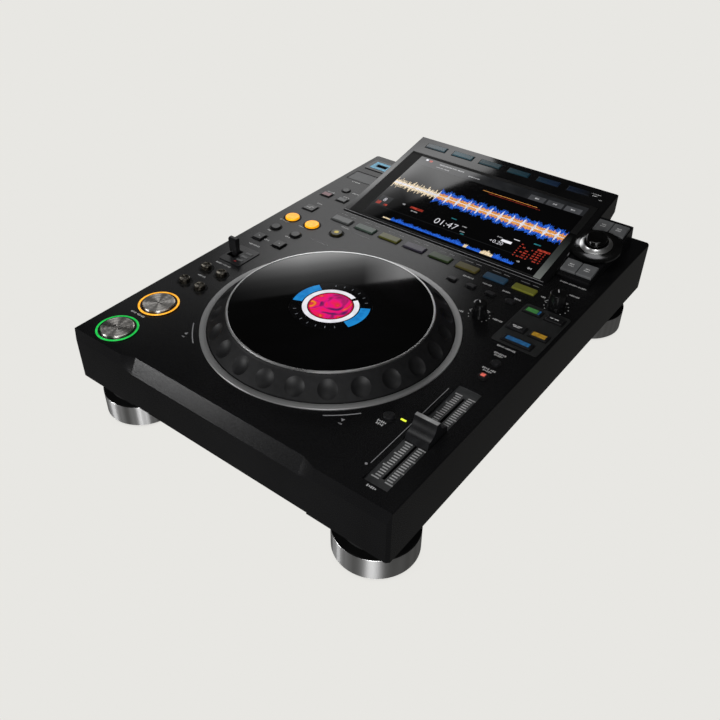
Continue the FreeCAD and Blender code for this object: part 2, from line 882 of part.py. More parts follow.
def selector_key_outlines():
    def outline_at(x, v):
        def outline(grow, low, high):
            key = block(x, v, selector_key_width + 2 * grow, selector_key_length + 2 * grow, low, high)
            reach = selector_base_r + selector_ring_gap - grow
            return key.cut(drum(selector_x, selector_v, reach, low - past, high + past))
        return outline
    return [outline_at(x, selector_v + side * selector_key_offset)
            for side in (-1, 1) for x in pair(selector_x, selector_key_pitch)]


def selector_keys():
    keys = []
    for outline in selector_key_outlines():
        floor = selector_floor() - selector_key_body
        key = outline(0, floor, selector_floor() + selector_key_rise)
        key = key.makeChamfer(key_chamfer, edges_at(key, selector_floor() + selector_key_rise))
        keys.append(on_display(key))
    return Part.makeCompound(keys)


def selector_knob():
    # a flared skirt above the screen block's face that sweeps up into a neck, on its shaft
    low = moving_gap
    skirt = low + selector_skirt_height
    neck = low + selector_neck_height
    inward, upward = 3 / 8, 3 / 10
    start = vector(selector_base_r, 0, skirt)
    end = vector(selector_neck_r, 0, neck)
    middle = vector(selector_neck_r + (selector_base_r - selector_neck_r) * inward, 0,
                    skirt + (neck - skirt) * upward)
    sweep = Part.Arc(start, middle, end).toShape()
    corners = [end, vector(0, 0, neck), vector(0, 0, low - selector_shaft_depth),
               vector(selector_shaft_r, 0, low - selector_shaft_depth), vector(selector_shaft_r, 0, low),
               vector(selector_base_r, 0, low), start]
    outline = Part.Wire([sweep] + Part.makePolygon(corners).Edges)
    knob = Part.Face(outline).revolve(vector(0, 0, 0), axis_z, 360)
    knob.translate(vector(selector_x, selector_v, 0))
    pocket = drum(selector_x, selector_v, selector_cap_r + moving_gap,
                  neck - selector_cap_sunk - selector_push - moving_gap, neck + past)
    return on_display(knob.cut(pocket))


def selector_cap():
    neck = moving_gap + selector_neck_height
    top = neck + selector_cap_height
    cap = drum(selector_x, selector_v, selector_cap_r, neck - selector_cap_sunk, top)
    return on_display(cap.makeFillet(selector_cap_edge, edges_at(cap, top)))


# Knobs, lever and fader

def fluted_knob(x, y, radius, height):
    low = panel_z + moving_gap
    top = panel_z + height
    knob = Part.makeCone(radius, radius - knob_top_gain, top - low, vector(x, y, low))
    knob = knob.makeChamfer(knob_edge, edges_at(knob, top))
    flutes = []
    for index in range(knob_flute_count):
        turn = 2 * math.pi * index / knob_flute_count
        reach = radius + knob_flute_r / 3
        flutes.append(drum(x + reach * math.cos(turn), y + reach * math.sin(turn), knob_flute_r,
                           low + height / 4, top + past))
    shaft = drum(x, y, knob_shaft_r, panel_z - knob_shaft_depth, low)
    return fuse_all([cut_all(knob, flutes), shaft])


def lever_pivot_z():
    return panel_z - lever_pivot_drop


def direction_lever():
    pivot = lever_pivot_z()
    root = panel_z + lever_root
    top = panel_z + lever_rise
    stick = block(lever_x, lever_y, lever_stick_width, lever_stick_length, pivot, root + lever_crown)
    half_side = [(lever_length / 2, root), (lever_tip_length / 2, top - lever_crown), (lever_crest / 2, top)]
    sides = [(lever_y - y, z) for y, z in half_side] + [(lever_y + y, z) for y, z in reversed(half_side)]
    grip = prism_along_x(sides, lever_x - lever_width / 2, lever_x + lever_width / 2)
    hub = Part.makeCylinder(lever_pivot_r, lever_width, vector(lever_x - lever_width / 2, lever_y, pivot),
                            vector(1, 0, 0))
    return fuse_all([grip, stick, hub])


def lever_plate():
    plate = rounded_block(lever_x + lever_plate_shift, lever_y, lever_plate_width, lever_plate_length, panel_z,
                          panel_z + lever_plate_thickness, plate_corner)
    return plate.cut(lever_slot())


def lever_ears():
    # two ears on the control board beside the lever's hub
    pivot = lever_pivot_z()
    inner = lever_width / 2 + moving_gap
    width = board_gap_edge - inner + ear_overlap
    height = 3 * lever_pivot_r / 2
    return [block(lever_x + side * (inner + width / 2), lever_y, width, 3 * lever_pivot_r,
                  pivot - height, pivot + height) for side in (-1, 1)]


def fader_floor_z():
    return panel_z - fader_recess_depth


def fader_plate():
    # the recessed scale plate, a shallow tray under the panel
    floor = fader_floor_z()
    under = floor - fader_plate_thickness
    tray = block(fader_x, fader_y, fader_recess_width + 2 * wall, fader_recess_length + 2 * wall,
                 under, panel_under_z)
    hollow = block(fader_x, fader_y, fader_recess_width, fader_recess_length, floor, panel_z)
    return tray.cut(hollow).cut(fader_slot(under - past, panel_z))


def fader_slot(low, high):
    return block(fader_x, fader_y, fader_slot_width, fader_slot_length, low, high)


def fader_track():
    top = fader_floor_z() - fader_plate_thickness
    low = top - fader_track_depth
    track = block(fader_x, fader_y, fader_track_width, fader_slot_length + 2 * fader_track_end, low, top)
    return track.cut(fader_slot(low + fader_track_floor, top + past))


def tempo_fader():
    low = fader_floor_z() + moving_gap
    base = panel_z + fader_knob_base
    top = panel_z + fader_knob_rise
    half = fader_knob_length / 2
    toe = half - fader_knob_toe
    ridge = fader_ridge / 2
    waist = base + fader_curve_rise
    front = Part.Arc(vector(0, fader_y - toe, base), vector(0, fader_y - fader_curve_y, waist),
                     vector(0, fader_y - ridge, top)).toShape()
    back = Part.Arc(vector(0, fader_y + ridge, top), vector(0, fader_y + fader_curve_y, waist),
                    vector(0, fader_y + toe, base)).toShape()
    under = Part.makePolygon([vector(0, fader_y + toe, base), vector(0, fader_y + half, low),
                              vector(0, fader_y - half, low), vector(0, fader_y - toe, base)])
    crest = Part.makePolygon([vector(0, fader_y - ridge, top), vector(0, fader_y + ridge, top)])
    outline = Part.Wire([front] + crest.Edges + [back] + under.Edges)
    knob = Part.Face(outline).extrude(vector(fader_knob_width, 0, 0))
    knob.translate(vector(fader_x - fader_knob_width / 2, 0, 0))
    stem_low = fader_floor_z() - fader_plate_thickness - fader_track_depth + 2 * fader_track_floor
    stem = block(fader_x, fader_y, fader_stem_width, fader_stem_length, stem_low, base)
    return fuse_all([knob, stem])


def fader_strip():
    top = panel_z + fader_knob_rise
    return block(fader_x, fader_y, fader_knob_width, fader_strip_width, top, top + fader_strip_height)


def sync_plate():
    plate = rounded_block(sync_plate_x, sync_plate_y, sync_plate_width, sync_plate_length, panel_z,
                          panel_z + sync_plate_thickness, sync_plate_corner)
    windows = [(x, y, sync_key_width) for x, y in sync_places + master_places]
    windows.append((sync_plate_x, wide_key_y, wide_key_width))
    return cut_all(plate, [square_outline(x, y, width, sync_key_length, key_corner)(
        key_gap, panel_z - past, panel_z + past) for x, y, width in windows])


def button_rings():
    rings = []
    for y in (play_y, cue_y):
        ring = hoop(transport_x, y, ring_outer_r, ring_inner_r, panel_z, panel_z + ring_rise)
        rings.append(ring.makeChamfer(ring_edge, edges_at(ring, panel_z + ring_rise)))
    return Part.makeCompound(rings)


# Card door and memory socket

def card_hinge_y():
    return card_door_y + card_door_length / 2 - card_door_thickness / 2


def card_door():
    low = panel_z - card_door_thickness
    leaf = block(card_door_x, card_door_y, card_door_width, card_door_length, low, panel_z)
    ease = block(card_door_x, card_door_y + card_door_length / 2, card_door_width + 2 * past,
                 card_door_thickness, low - past, panel_z + past)
    barrel = Part.makeCylinder(card_door_thickness / 2, card_door_width,
                               vector(card_door_x - card_door_width / 2, card_hinge_y(),
                                      panel_z - card_door_thickness / 2), vector(1, 0, 0))
    return fuse_all([leaf.cut(ease), barrel])


def card_reader():
    top = panel_under_z - seat_gap
    low = top - card_reader_depth
    reader = block(card_door_x, card_door_y, card_slot_width + 2 * card_reader_side,
                   card_slot_length + 2 * card_reader_end, low, top)
    return reader.cut(block(card_door_x, card_door_y, card_slot_width, card_slot_length,
                            low + card_reader_floor, top + past))


def usb_socket():
    top = panel_z + socket_bezel_rise
    low = panel_z - socket_depth
    plate = rounded_block(socket_x, socket_y, socket_bezel_width, socket_bezel_length, panel_z, top,
                          plate_corner)
    shell = block(socket_x, socket_y, socket_width + 2 * socket_wall, socket_length + 2 * socket_wall,
                  low - socket_floor, top)
    mouth = block(socket_x, socket_y, socket_width, socket_length, low, top + past)
    return fuse_all([plate, shell]).cut(mouth)


# Rear panel

def rear_face_y():
    return rear_y - rear_set_back


def rear_block(x, width, height, depth_in, reach):
    face = rear_face_y()
    return Part.makeBox(width, depth_in + reach, height, vector(x - width / 2, face - depth_in,
                                                               rear_row_z - height / 2))


def jack_xs():
    return spread(jack_first_x, jack_pitch, jack_count)


def along_y(x, radius, low_y, high_y):
    return Part.makeCylinder(radius, high_y - low_y, vector(x, low_y, rear_row_z), vector(0, 1, 0))


def rear_panel():
    # the sheet with the cage of the power switch behind it
    face = rear_face_y()
    sheet = rear_window(-seat_gap, face - rear_sheet, face)
    cage = rear_block(switch_x, switch_width, switch_height, switch_depth + rear_sheet, 0)
    inner = switch_width - 2 * switch_rim
    depth = 2 * rear_sheet
    tools = [rear_block(inlet_x, inlet_width + 2 * seat_gap, inlet_height + 2 * seat_gap, depth, past),
             rear_block(switch_x, inner, switch_height - 2 * switch_rim, switch_depth, past),
             rear_block(network_x, network_width + 2 * seat_gap, network_height + 2 * seat_gap, depth, past),
             rocker_pin(inner + 2 * rocker_pin_reach + 2 * moving_gap, rocker_pin_r + seat_gap / 2)]
    for x in jack_xs():
        tools.append(along_y(x, jack_r + seat_gap, face - depth, face + past))
    return cut_all(fuse_all([sheet, cage]), tools)


def mains_inlet():
    face = rear_face_y()
    body = rear_block(inlet_x, inlet_width, inlet_height, inlet_mouth_depth + inlet_back, 0)
    flange = rear_block(inlet_x, inlet_width + inlet_flange, inlet_height + inlet_flange, 0,
                        inlet_flange_reach)
    mouth = rear_block(inlet_x, inlet_mouth_width, inlet_mouth_height, inlet_mouth_depth,
                       inlet_flange_reach + past)
    places = [(-inlet_pin_pitch, -inlet_pin_drop), (0, inlet_earth_raise), (inlet_pin_pitch, -inlet_pin_drop)]
    pins = [Part.makeBox(inlet_pin_width, inlet_pin_length, inlet_pin_height,
                         vector(inlet_x + x - inlet_pin_width / 2, face - inlet_mouth_depth,
                                rear_row_z + z - inlet_pin_height / 2)) for x, z in places]
    return fuse_all([fuse_all([body, flange]).cut(mouth)] + pins)


def rear_sockets():
    return Part.makeCompound([network_socket()] + audio_jacks())


def network_socket():
    body = rear_block(network_x, network_width, network_height, network_mouth_depth + network_back,
                      network_reach)
    mouth = rear_block(network_x, network_mouth_width, network_mouth_height, network_mouth_depth,
                       network_reach + past)
    return body.cut(mouth)


def audio_jacks():
    face = rear_face_y()
    end = face + jack_reach
    jacks = []
    for x in jack_xs():
        barrel = along_y(x, jack_r, face - rear_shell_depth, end)
        nut = along_y(x, jack_nut_r, face, face + jack_nut_thickness)
        bore = along_y(x, jack_hole_r, face - jack_hole_depth, end + past)
        jacks.append(fuse_all([barrel, nut]).cut(bore))
    return jacks


def power_switch():
    # a rocker that tips on two pins in the sides of its cage
    face = rear_face_y()
    half = switch_height / 2 - switch_rim - rocker_gap
    heel = rocker_heel_height / 2
    shoulder_y, middle_y = face - rocker_shoulder, face + rocker_reach
    points = [(face - rocker_depth, rear_row_z - heel), (face - rocker_depth, rear_row_z + heel),
              (shoulder_y, rear_row_z + half), (middle_y + rocker_horn, rear_row_z + half),
              (middle_y, rear_row_z), (middle_y + rocker_horn, rear_row_z - half),
              (shoulder_y, rear_row_z - half)]
    inner = switch_width - 2 * switch_rim
    width = inner - 2 * moving_gap
    rocker = prism_along_x(points, switch_x - width / 2, switch_x + width / 2)
    return fuse_all([rocker, rocker_pin(inner + 2 * rocker_pin_reach, rocker_pin_r)])


def rocker_pin(length, radius):
    place = vector(switch_x - length / 2, rear_face_y() - rocker_pivot_depth, rear_row_z)
    return Part.makeCylinder(radius, length, place, vector(1, 0, 0))


# Inside

def control_board():
    # one board under the panel, cut away round the dial, the lever, the fader and the sockets
    inset = wall + board_margin
    board = block(0, (rear_y + front_y) / 2, player_width - 2 * inset, rear_y - front_y - 4 * inset,
                  board_z - board_thickness, board_z)
    floor = board_z - board_thickness - past
    fader_margin = 2 * (wall + past)
    tools = [drum(jog_x, jog_y, trim_inner_r + board_dial_gap, floor, panel_z),
             block(fader_x, fader_y, fader_recess_width + fader_margin, fader_recess_length + fader_margin,
                   floor, panel_z),
             block(lever_x, lever_y, 2 * board_gap_edge, 4 * lever_pivot_r + board_lever_slack, floor, panel_z),
             block(card_door_x, (card_door_y + socket_y) / 2, card_slot_width + board_card_slack,
                   socket_y - card_door_y + board_card_reach, floor, panel_z),
             drum(vinyl_knob_x, vinyl_knob_y, knob_shaft_r + board_gap, floor, panel_z),
             drum(brake_knob_x, brake_knob_y, knob_shaft_r + board_gap, floor, panel_z)]
    return fuse_all([cut_all(board, tools)] + lever_ears() + knob_pots())


def knob_pots():
    # the turning parts under the two knobs
    top = board_z - board_thickness
    low = top - pot_height
    pots = []
    for x, y in ((vinyl_knob_x, vinyl_knob_y), (brake_knob_x, brake_knob_y)):
        pot = block(x, y, pot_side, pot_side, low, top)
        pots.append(pot.cut(drum(x, y, knob_shaft_r + moving_gap, low + pot_floor, panel_z)))
    return pots


def inner_boxes():
    floor = chassis_z + chassis_sheet
    board = block(main_board_x, main_board_y, main_board_width, main_board_length, floor + standoff,
                  floor + standoff + board_thickness)
    reach_x = main_board_width / 2 - board_foot_inset
    reach_y = main_board_length / 2 - board_foot_inset
    feet = [drum(main_board_x + side * reach_x, main_board_y + end * reach_y, board_foot_r, floor,
                 floor + standoff) for side in (-1, 1) for end in (-1, 1)]
    save(fuse_all([board] + feet), "main_board")
    supply = block(supply_x, supply_y, supply_width, supply_length, floor, floor + supply_height)
    save(supply, "power_supply")


def build():
    os.makedirs("parts", exist_ok=True)
    keys = panel_keys()
    make_keys(keys)
    feet()
    chassis_screws()
    display_parts()
    inner_boxes()
    pieces = {
        "upper_case": upper_case(keys), "lower_chassis": lower_chassis(), "rear_panel": rear_panel(),
        "jog_trim_ring": jog_trim(), "jog_dial": jog_dial(), "jog_plate": jog_plate(), "jog_rim": jog_rim(),
        "jog_base": jog_base(), "jog_window": jog_window(),
        "display_housing": display_housing(), "selector_housing": selector_housing(),
        "selector_keys": selector_keys(), "selector_knob": selector_knob(), "selector_cap": selector_cap(),
        "vinyl_knob": fluted_knob(vinyl_knob_x, vinyl_knob_y, vinyl_knob_r, vinyl_knob_height),
        "brake_knob": fluted_knob(brake_knob_x, brake_knob_y, brake_knob_r, brake_knob_height),
        "direction_lever": direction_lever(), "lever_plate": lever_plate(),
        "fader_plate": fader_plate(), "fader_track": fader_track(),
        "tempo_fader": tempo_fader(), "fader_strip": fader_strip(), "sync_plate": sync_plate(),
        "button_rings": button_rings(), "card_door": card_door(), "card_reader": card_reader(),
        "usb_socket": usb_socket(), "mains_inlet": mains_inlet(), "rear_sockets": rear_sockets(),
        "power_switch": power_switch(),
        "control_board": control_board(),
    }
    for name, shape in pieces.items():
        save(shape, name)
    print(len(os.listdir("parts")), "pieces")


build()
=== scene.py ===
import json
import math
import bmesh
import bpy
from mathutils import Matrix, Vector, noise


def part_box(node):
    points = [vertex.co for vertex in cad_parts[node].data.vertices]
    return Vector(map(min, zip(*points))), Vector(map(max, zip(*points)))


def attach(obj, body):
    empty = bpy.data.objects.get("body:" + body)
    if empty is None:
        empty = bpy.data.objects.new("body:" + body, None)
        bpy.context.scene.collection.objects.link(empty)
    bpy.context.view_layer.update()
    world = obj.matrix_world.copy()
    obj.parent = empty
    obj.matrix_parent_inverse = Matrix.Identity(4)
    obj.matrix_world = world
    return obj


# Tabletop media player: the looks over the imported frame. Sizes below are in millimetres.
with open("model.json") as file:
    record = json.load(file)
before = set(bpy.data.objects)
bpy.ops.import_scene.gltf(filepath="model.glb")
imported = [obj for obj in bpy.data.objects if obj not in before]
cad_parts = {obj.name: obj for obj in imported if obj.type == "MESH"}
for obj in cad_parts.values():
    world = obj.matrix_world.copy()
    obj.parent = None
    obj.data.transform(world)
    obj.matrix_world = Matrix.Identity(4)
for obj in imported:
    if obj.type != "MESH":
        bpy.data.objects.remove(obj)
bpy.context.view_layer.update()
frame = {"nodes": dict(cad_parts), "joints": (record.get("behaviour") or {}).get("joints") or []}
print("frame:", len(frame["nodes"]), "nodes")
mm = 0.001

# Centres that finishes and pieces share, in millimetres
dialCentre = (1.5, -85.0)
playCentre = (-134.0, -203.0)
cueCentre = (-134.0, -157.0)


# Nodes and colours

def hexColour(code):
    # sRGB hex to the linear colour that the nodes take
    parts = [int(code[place:place + 2], 16) / 255 for place in (1, 3, 5)]
    linear = [part / 12.92 if part <= 0.04045 else ((part + 0.055) / 1.055) ** 2.4 for part in parts]
    return (*linear, 1.0)


def perMm(size):
    # texture scale that gives features of this size
    return 1 / (size * mm)


def addNode(tree, kind, settings=None, links=None):
    node = tree.nodes.new(kind)
    for key, value in (settings or {}).items():
        if key == "stops":
            for index, (place, code) in enumerate(value):
                elements = node.color_ramp.elements
                element = elements[index] if index < len(elements) else elements.new(place)
                element.position = place
                element.color = hexColour(code)
        elif isinstance(key, int) or key in node.inputs:
            node.inputs[key].default_value = value
        else:
            setattr(node, key, value)
    for key, socket in (links or {}).items():
        tree.links.new(socket, node.inputs[key])
    return node


def startMaterial(name, **sockets):
    material = bpy.data.materials.new(name)
    material.use_nodes = True
    tree = material.node_tree
    shader = tree.nodes["Principled BSDF"]
    for key, value in sockets.items():
        shader.inputs[key.replace("_", " ")].default_value = value
    place = addNode(tree, "ShaderNodeTexCoord").outputs["Object"]
    return material, tree, shader, place


def addGrain(tree, shader, place, size, depth):
    # fine relief of the skin, as bump; the real grain is near 0.15 mm and is drawn coarser, so that it shows
    grain = addNode(tree, "ShaderNodeTexNoise", {"Scale": perMm(size), "Detail": 3.0}, {"Vector": place})
    bump = addNode(tree, "ShaderNodeBump", {"Strength": 0.5, "Distance": depth * mm},
                   {"Height": grain.outputs[0]})
    tree.links.new(bump.outputs["Normal"], shader.inputs["Normal"])
    return grain.outputs[0]


def addShades(tree, shader, factor, stops, socket="Base Color"):
    ramp = addNode(tree, "ShaderNodeValToRGB", {"stops": stops}, {"Fac": factor})
    tree.links.new(ramp.outputs["Color"], shader.inputs[socket])


def addRoughness(tree, shader, factor, low, high):
    spread = addNode(tree, "ShaderNodeMapRange",
                     {"From Min": 0.3, "From Max": 0.7, "To Min": low, "To Max": high}, {"Value": factor})
    tree.links.new(spread.outputs["Result"], shader.inputs["Roughness"])


def mouldedPlastic(name, look):
    # ABS from a spark-eroded mould: a matt skin whose grain softens every highlight
    material, tree, shader, place = startMaterial(name, IOR=1.5, Specular_IOR_Level=look.get("gloss", 0.5))
    grain = addGrain(tree, shader, place, look["grain"], look["depth"])
    cloud = addNode(tree, "ShaderNodeTexNoise", {"Scale": perMm(look["cloud"]), "Detail": 4.0},
                    {"Vector": place})
    addShades(tree, shader, cloud.outputs[0], [(0.3, look["dark"]), (0.7, look["light"])])
    addRoughness(tree, shader, grain, look["rough"] - 0.05, look["rough"] + 0.07)
    return material


def glossPlastic(name, look):
    # polished acrylic or polycarbonate: deep colour under a sharp mirror with faint wiping marks
    material, tree, shader, place = startMaterial(name, IOR=1.5)
    wipe = addNode(tree, "ShaderNodeTexNoise",
                   {"Scale": perMm(look["wipe"]), "Detail": 5.0, "Distortion": 1.5}, {"Vector": place})
    addShades(tree, shader, wipe.outputs[0], [(0.35, look["dark"]), (0.65, look["light"])])
    addRoughness(tree, shader, wipe.outputs[0], look["rough"], look["rough"] + 0.03)
    return material


waveTurn = 2 * math.pi / 20  # a wave node runs through 20 radians in each unit


def turnedMetal(name, look):
    # aluminium turned on a lathe: fine circles that pull a light into bright fans or upright bands; the real
    # marks are near 0.1 mm apart and are drawn some millimetres apart, so that they show
    material, tree, shader, place = startMaterial(
        name, Metallic=look.get("bare", 1.0), Anisotropic=look["pull"],
        Anisotropic_Rotation=look.get("turn", 0.0))
    centred = addNode(tree, "ShaderNodeMapping", {"Location": [-value * mm for value in look["centre"]]},
                      {"Vector": place})
    circles = addNode(tree, "ShaderNodeTexWave", {"wave_type": "RINGS", "rings_direction": "Z",
                      "Scale": perMm(look["pitch"]) * waveTurn, "Distortion": 0.3, "Detail": 1.0},
                      {"Vector": centred.outputs["Vector"]})
    addShades(tree, shader, circles.outputs[1], [(0.0, look["dark"]), (1.0, look["light"])])
    addRoughness(tree, shader, circles.outputs[1], look["rough"] - 0.02, look["rough"] + 0.02)
    if look.get("upright"):
        across = addNode(tree, "ShaderNodeCombineXYZ", {"X": 0.01, "Y": 0.013, "Z": 1.0})
        tree.links.new(across.outputs["Vector"], shader.inputs["Tangent"])
    else:
        around = addNode(tree, "ShaderNodeTangent", {"direction_type": "RADIAL", "axis": "Z"})
        tree.links.new(around.outputs["Tangent"], shader.inputs["Tangent"])
    return material


def plainMetal(name, look):
    # sheet or plated metal: cool colour, broad cloudy reflections
    material, tree, shader, place = startMaterial(name, Metallic=1.0)
    cloud = addNode(tree, "ShaderNodeTexNoise", {"Scale": perMm(look["cloud"]), "Detail": 6.0},
                    {"Vector": place})
    addShades(tree, shader, cloud.outputs[0], [(0.3, look["dark"]), (0.7, look["light"])])
    addRoughness(tree, shader, cloud.outputs[0], look["rough"], look["rough"] + 0.08)
    return material


def litPlastic(name, look):
    # diffusing plastic over a lamp: glows evenly with a soft mottle
    material, tree, shader, place = startMaterial(name, Roughness=0.35, Emission_Strength=look["glow"])
    mottle = addNode(tree, "ShaderNodeTexNoise", {"Scale": perMm(look.get("mottle", 3.0)), "Detail": 2.0},
                     {"Vector": place})
    addShades(tree, shader, mottle.outputs[0], [(0.3, look["dark"]), (0.7, look["light"])])
    addShades(tree, shader, mottle.outputs[0], [(0.3, look["dark"]), (0.7, look["light"])], "Emission Color")
    return material


def screenPixel(name, look):
    # lit pixels under glass: no colour of their own, only light, a little uneven
    material, tree, shader, place = startMaterial(name, Base_Color=(0.002, 0.002, 0.002, 1), Roughness=0.08,
                                                  Emission_Strength=look.get("glow", 1.0))
    mottle = addNode(tree, "ShaderNodeTexNoise", {"Scale": perMm(look.get("mottle", 3.0)), "Detail": 2.0},
                     {"Vector": place})
    addShades(tree, shader, mottle.outputs[0], [(0.35, look["dark"]), (0.65, look["light"])],
              "Emission Color")
    return material


def printedInk(name, look):
    # pad-printed ink: thin, slightly uneven at the edges
    material, tree, shader, place = startMaterial(name, Roughness=0.55)
    wear = addNode(tree, "ShaderNodeTexNoise", {"Scale": perMm(0.8), "Detail": 4.0}, {"Vector": place})
    addShades(tree, shader, wear.outputs[0], [(0.3, look["dark"]), (0.6, look["light"])])
    return material


def bandedKeys(name, look):
    # clear-topped keys in a row under dim lamps, glowing in colours whose stops run along the row: lamp
    # colours, and a painted sheen that fades along the row
    material, tree, shader, place = startMaterial(name, Roughness=0.3, Emission_Strength=look["glow"])
    split = addNode(tree, "ShaderNodeSeparateXYZ", {}, {"Vector": place})
    along = addNode(tree, "ShaderNodeMapRange", {"From Min": look["from"] * mm, "From Max": look["to"] * mm},
                    {"Value": split.outputs["X"]})
    addShades(tree, shader, along.outputs["Result"], look["stops"])
    addShades(tree, shader, along.outputs["Result"], look["stops"], "Emission Color")
    addGrain(tree, shader, place, 0.5, 0.01)
    return material


# Finishes: one table for each way of making them; nodes names the CAD nodes that wear the finish
mouldedLooks = {
    # ABS from a spark-eroded mould: near black, and every highlight blooms softly
    "caseMouldedAbs": {"dark": "#0d0d0e", "light": "#131314", "grain": 0.5, "depth": 0.03, "cloud": 60,
                       "rough": 0.24, "gloss": 0.26, "nodes": ["upper_case", "selector_housing"]},
    # finer moulded ABS: keys stand out a shade lighter than the case
    "keyMouldedAbs": {"dark": "#0f0f10", "light": "#18181a", "grain": 0.4, "depth": 0.015, "cloud": 12,
                      "rough": 0.3, "nodes": [
                          "beat_keys", "loop_size_keys", "mode_keys", "sync_keys", "tempo_keys", "media_keys",
                          "direction_lever", "tempo_fader", "lever_plate", "usb_socket", "power_switch",
                          "mains_inlet", "card_reader", "fader_track", "button_rings"]},
    # ABS with a soft-touch coat: dull black hollows without a sharp glint
    "dialCoatedAbs": {"dark": "#0c0c0d", "light": "#151516", "grain": 0.35, "depth": 0.03, "cloud": 5,
                      "rough": 0.5, "gloss": 0.26, "nodes": ["jog_dial"]},
    # moulded rubber: takes in nearly all the light
    "footMouldedRubber": {"dark": "#0c0c0c", "light": "#161616", "grain": 0.6, "depth": 0.05, "cloud": 15,
                          "rough": 0.75, "nodes": ["foot_pads"]},
    # grey moulded ABS: a plain pale tile beside the black case
    "doorMouldedAbs": {"dark": "#434546", "light": "#525455", "grain": 0.4, "depth": 0.02, "cloud": 20,
                       "rough": 0.45, "nodes": ["card_door"]},
    # smoked polycarbonate, moulded: milky grey, as if lit a little from inside
    "smokedPolycarbonate": {"dark": "#505152", "light": "#626364", "grain": 0.4, "depth": 0.01, "cloud": 8,
                            "rough": 0.4, "nodes": ["selector_keys"]},
    # shiny moulded ABS: black knobs with small tight glints
    "knobMouldedAbs": {"dark": "#070707", "light": "#0e0e0f", "grain": 0.9, "depth": 0.02, "cloud": 6,
                       "rough": 0.16, "nodes": ["vinyl_knob", "brake_knob"]},
    # matt black made like moulded ABS: painted shade on the rings and frames round the keys and on the foot
    # cups, print on the screen's border; the blackest lines on the panel
    "paintedShadeAndBorderBlack": {"dark": "#030303", "light": "#070707", "grain": 0.6, "depth": 0.02, "cloud": 9,
                    "rough": 0.6, "gloss": 0.2},
    # powder-coated steel sheet: a dull black with a pebbled skin
    "powderCoatedSteel": {"dark": "#101011", "light": "#1a1a1b", "grain": 0.7, "depth": 0.03, "cloud": 40,
                          "rough": 0.55, "nodes": ["lower_chassis", "rear_panel", "screen_module"]},
    # grey coated sheet on the fader's floor: pale enough to carry the scale
    "greyCoatedSteel": {"dark": "#303132", "light": "#3f4041", "grain": 0.9, "depth": 0.04, "cloud": 9,
                        "rough": 0.5, "nodes": ["fader_plate"]},
    # satin coated sheet under the sync keys: a faint grey sheen
    "satinCoatedSteel": {"dark": "#1a1b1b", "light": "#232424", "grain": 0.7, "depth": 0.02, "cloud": 14,
                         "rough": 0.36, "nodes": ["sync_plate"]},
    # glass fibre board under green lacquer: deep green with slight clouds
    "lacqueredFibreBoard": {"dark": "#0f3d23", "light": "#195233", "grain": 1.2, "depth": 0.02, "cloud": 10,
                            "rough": 0.4, "nodes": ["main_board", "control_board"]},
}
polishedLooks = {
    # ABS polished in the mould: the screen block mirrors the light with a clean edge
    "blockPolishedAbs": {"dark": "#0a0a0b", "light": "#101011", "wipe": 80, "rough": 0.07,
                         "nodes": ["display_housing"]},
    # polished acrylic: the dial's plate is black until it meets the light panel
    "platePolishedAcrylic": {"dark": "#020202", "light": "#050506", "wipe": 90, "rough": 0.03,
                             "nodes": ["jog_plate"]},
    # float glass over the screen: a sharp mirror on black
    "screenFloatGlass": {"dark": "#030304", "light": "#060607", "wipe": 120, "rough": 0.04,
                         "nodes": ["display_glass"]},
    # polished acrylic over the round display: as black as the plate, a little softer
    "windowPolishedAcrylic": {"dark": "#020203", "light": "#060608", "wipe": 30, "rough": 0.06,
                              "nodes": ["jog_window"]},
    # polished ABS cap of the selector: one bright glint on black
    "capPolishedAbs": {"dark": "#040404", "light": "#090909", "wipe": 15, "rough": 0.08,
                       "nodes": ["selector_cap"]},
}
turnedCap = {"dark": "#cfccc8", "light": "#e4e0da", "pitch": 3.77, "rough": 0.36, "pull": 0.9, "turn": 0.25}
turnedLooks = {
    # turned aluminium with a clear anodic coat: an even silver ring
    "trimTurnedAluminium": {"dark": "#9c9c9c", "light": "#b2b2b2", "pitch": 7.54, "rough": 0.4, "pull": 0.3,
                            "turn": 0.25, "centre": (*dialCentre, 0.0), "bare": 0.85,
                            "nodes": ["jog_trim_ring"]},
    # turned aluminium caps: bright fans that start in the middle
    "playTurnedAluminium": {**turnedCap, "centre": (*playCentre, 0.0), "nodes": ["play_button"]},
    "cueTurnedAluminium": {**turnedCap, "centre": (*cueCentre, 0.0), "nodes": ["cue_button"]},
    # turned aluminium cups: upright bands of light and shade
    "footTurnedAluminium": {"dark": "#e4e4e4", "light": "#f6f6f6", "pitch": 6.28, "rough": 0.36, "pull": 0.85,
                            "upright": True, "centre": (0.0, 0.0, 0.0), "nodes": ["foot_cups"]},
}
metalLooks = {
    # bright chrome plate: a thin white line round the dial
    "brightChromePlate": {"dark": "#d2d2d2", "light": "#ececec", "cloud": 30, "rough": 0.26,
                          "nodes": ["jog_rim"]},
    # black chrome plate: a dark mirror with soft patches
    "blackChromePlate": {"dark": "#4c4c4d", "light": "#6a6a6b", "cloud": 25, "rough": 0.14,
                         "nodes": ["selector_knob"]},
    # plated caps of the small round keys: uneven glints on a warm grey
    "keyChromePlate": {"dark": "#2a2825", "light": "#8f897d", "cloud": 2.2, "rough": 0.25,
                       "nodes": ["search_keys", "track_keys"]},
    # anodised aluminium strip: bright and even
    "anodisedAluminium": {"dark": "#c2c2c2", "light": "#dcdcdc", "cloud": 8, "rough": 0.42,
                          "nodes": ["fader_strip"]},
    # nickel plate on sockets and screws: pale, with small clouds
    "nickelPlate": {"dark": "#9b9da0", "light": "#c5c7ca", "cloud": 6, "rough": 0.25,
                    "nodes": ["rear_sockets", "chassis_screws", "jog_base"]},
    # galvanised steel: dull silver with broad flakes
    "galvanisedSteel": {"dark": "#a5a8a9", "light": "#c2c5c6", "cloud": 14, "rough": 0.38,
                        "nodes": ["power_supply"]},
}
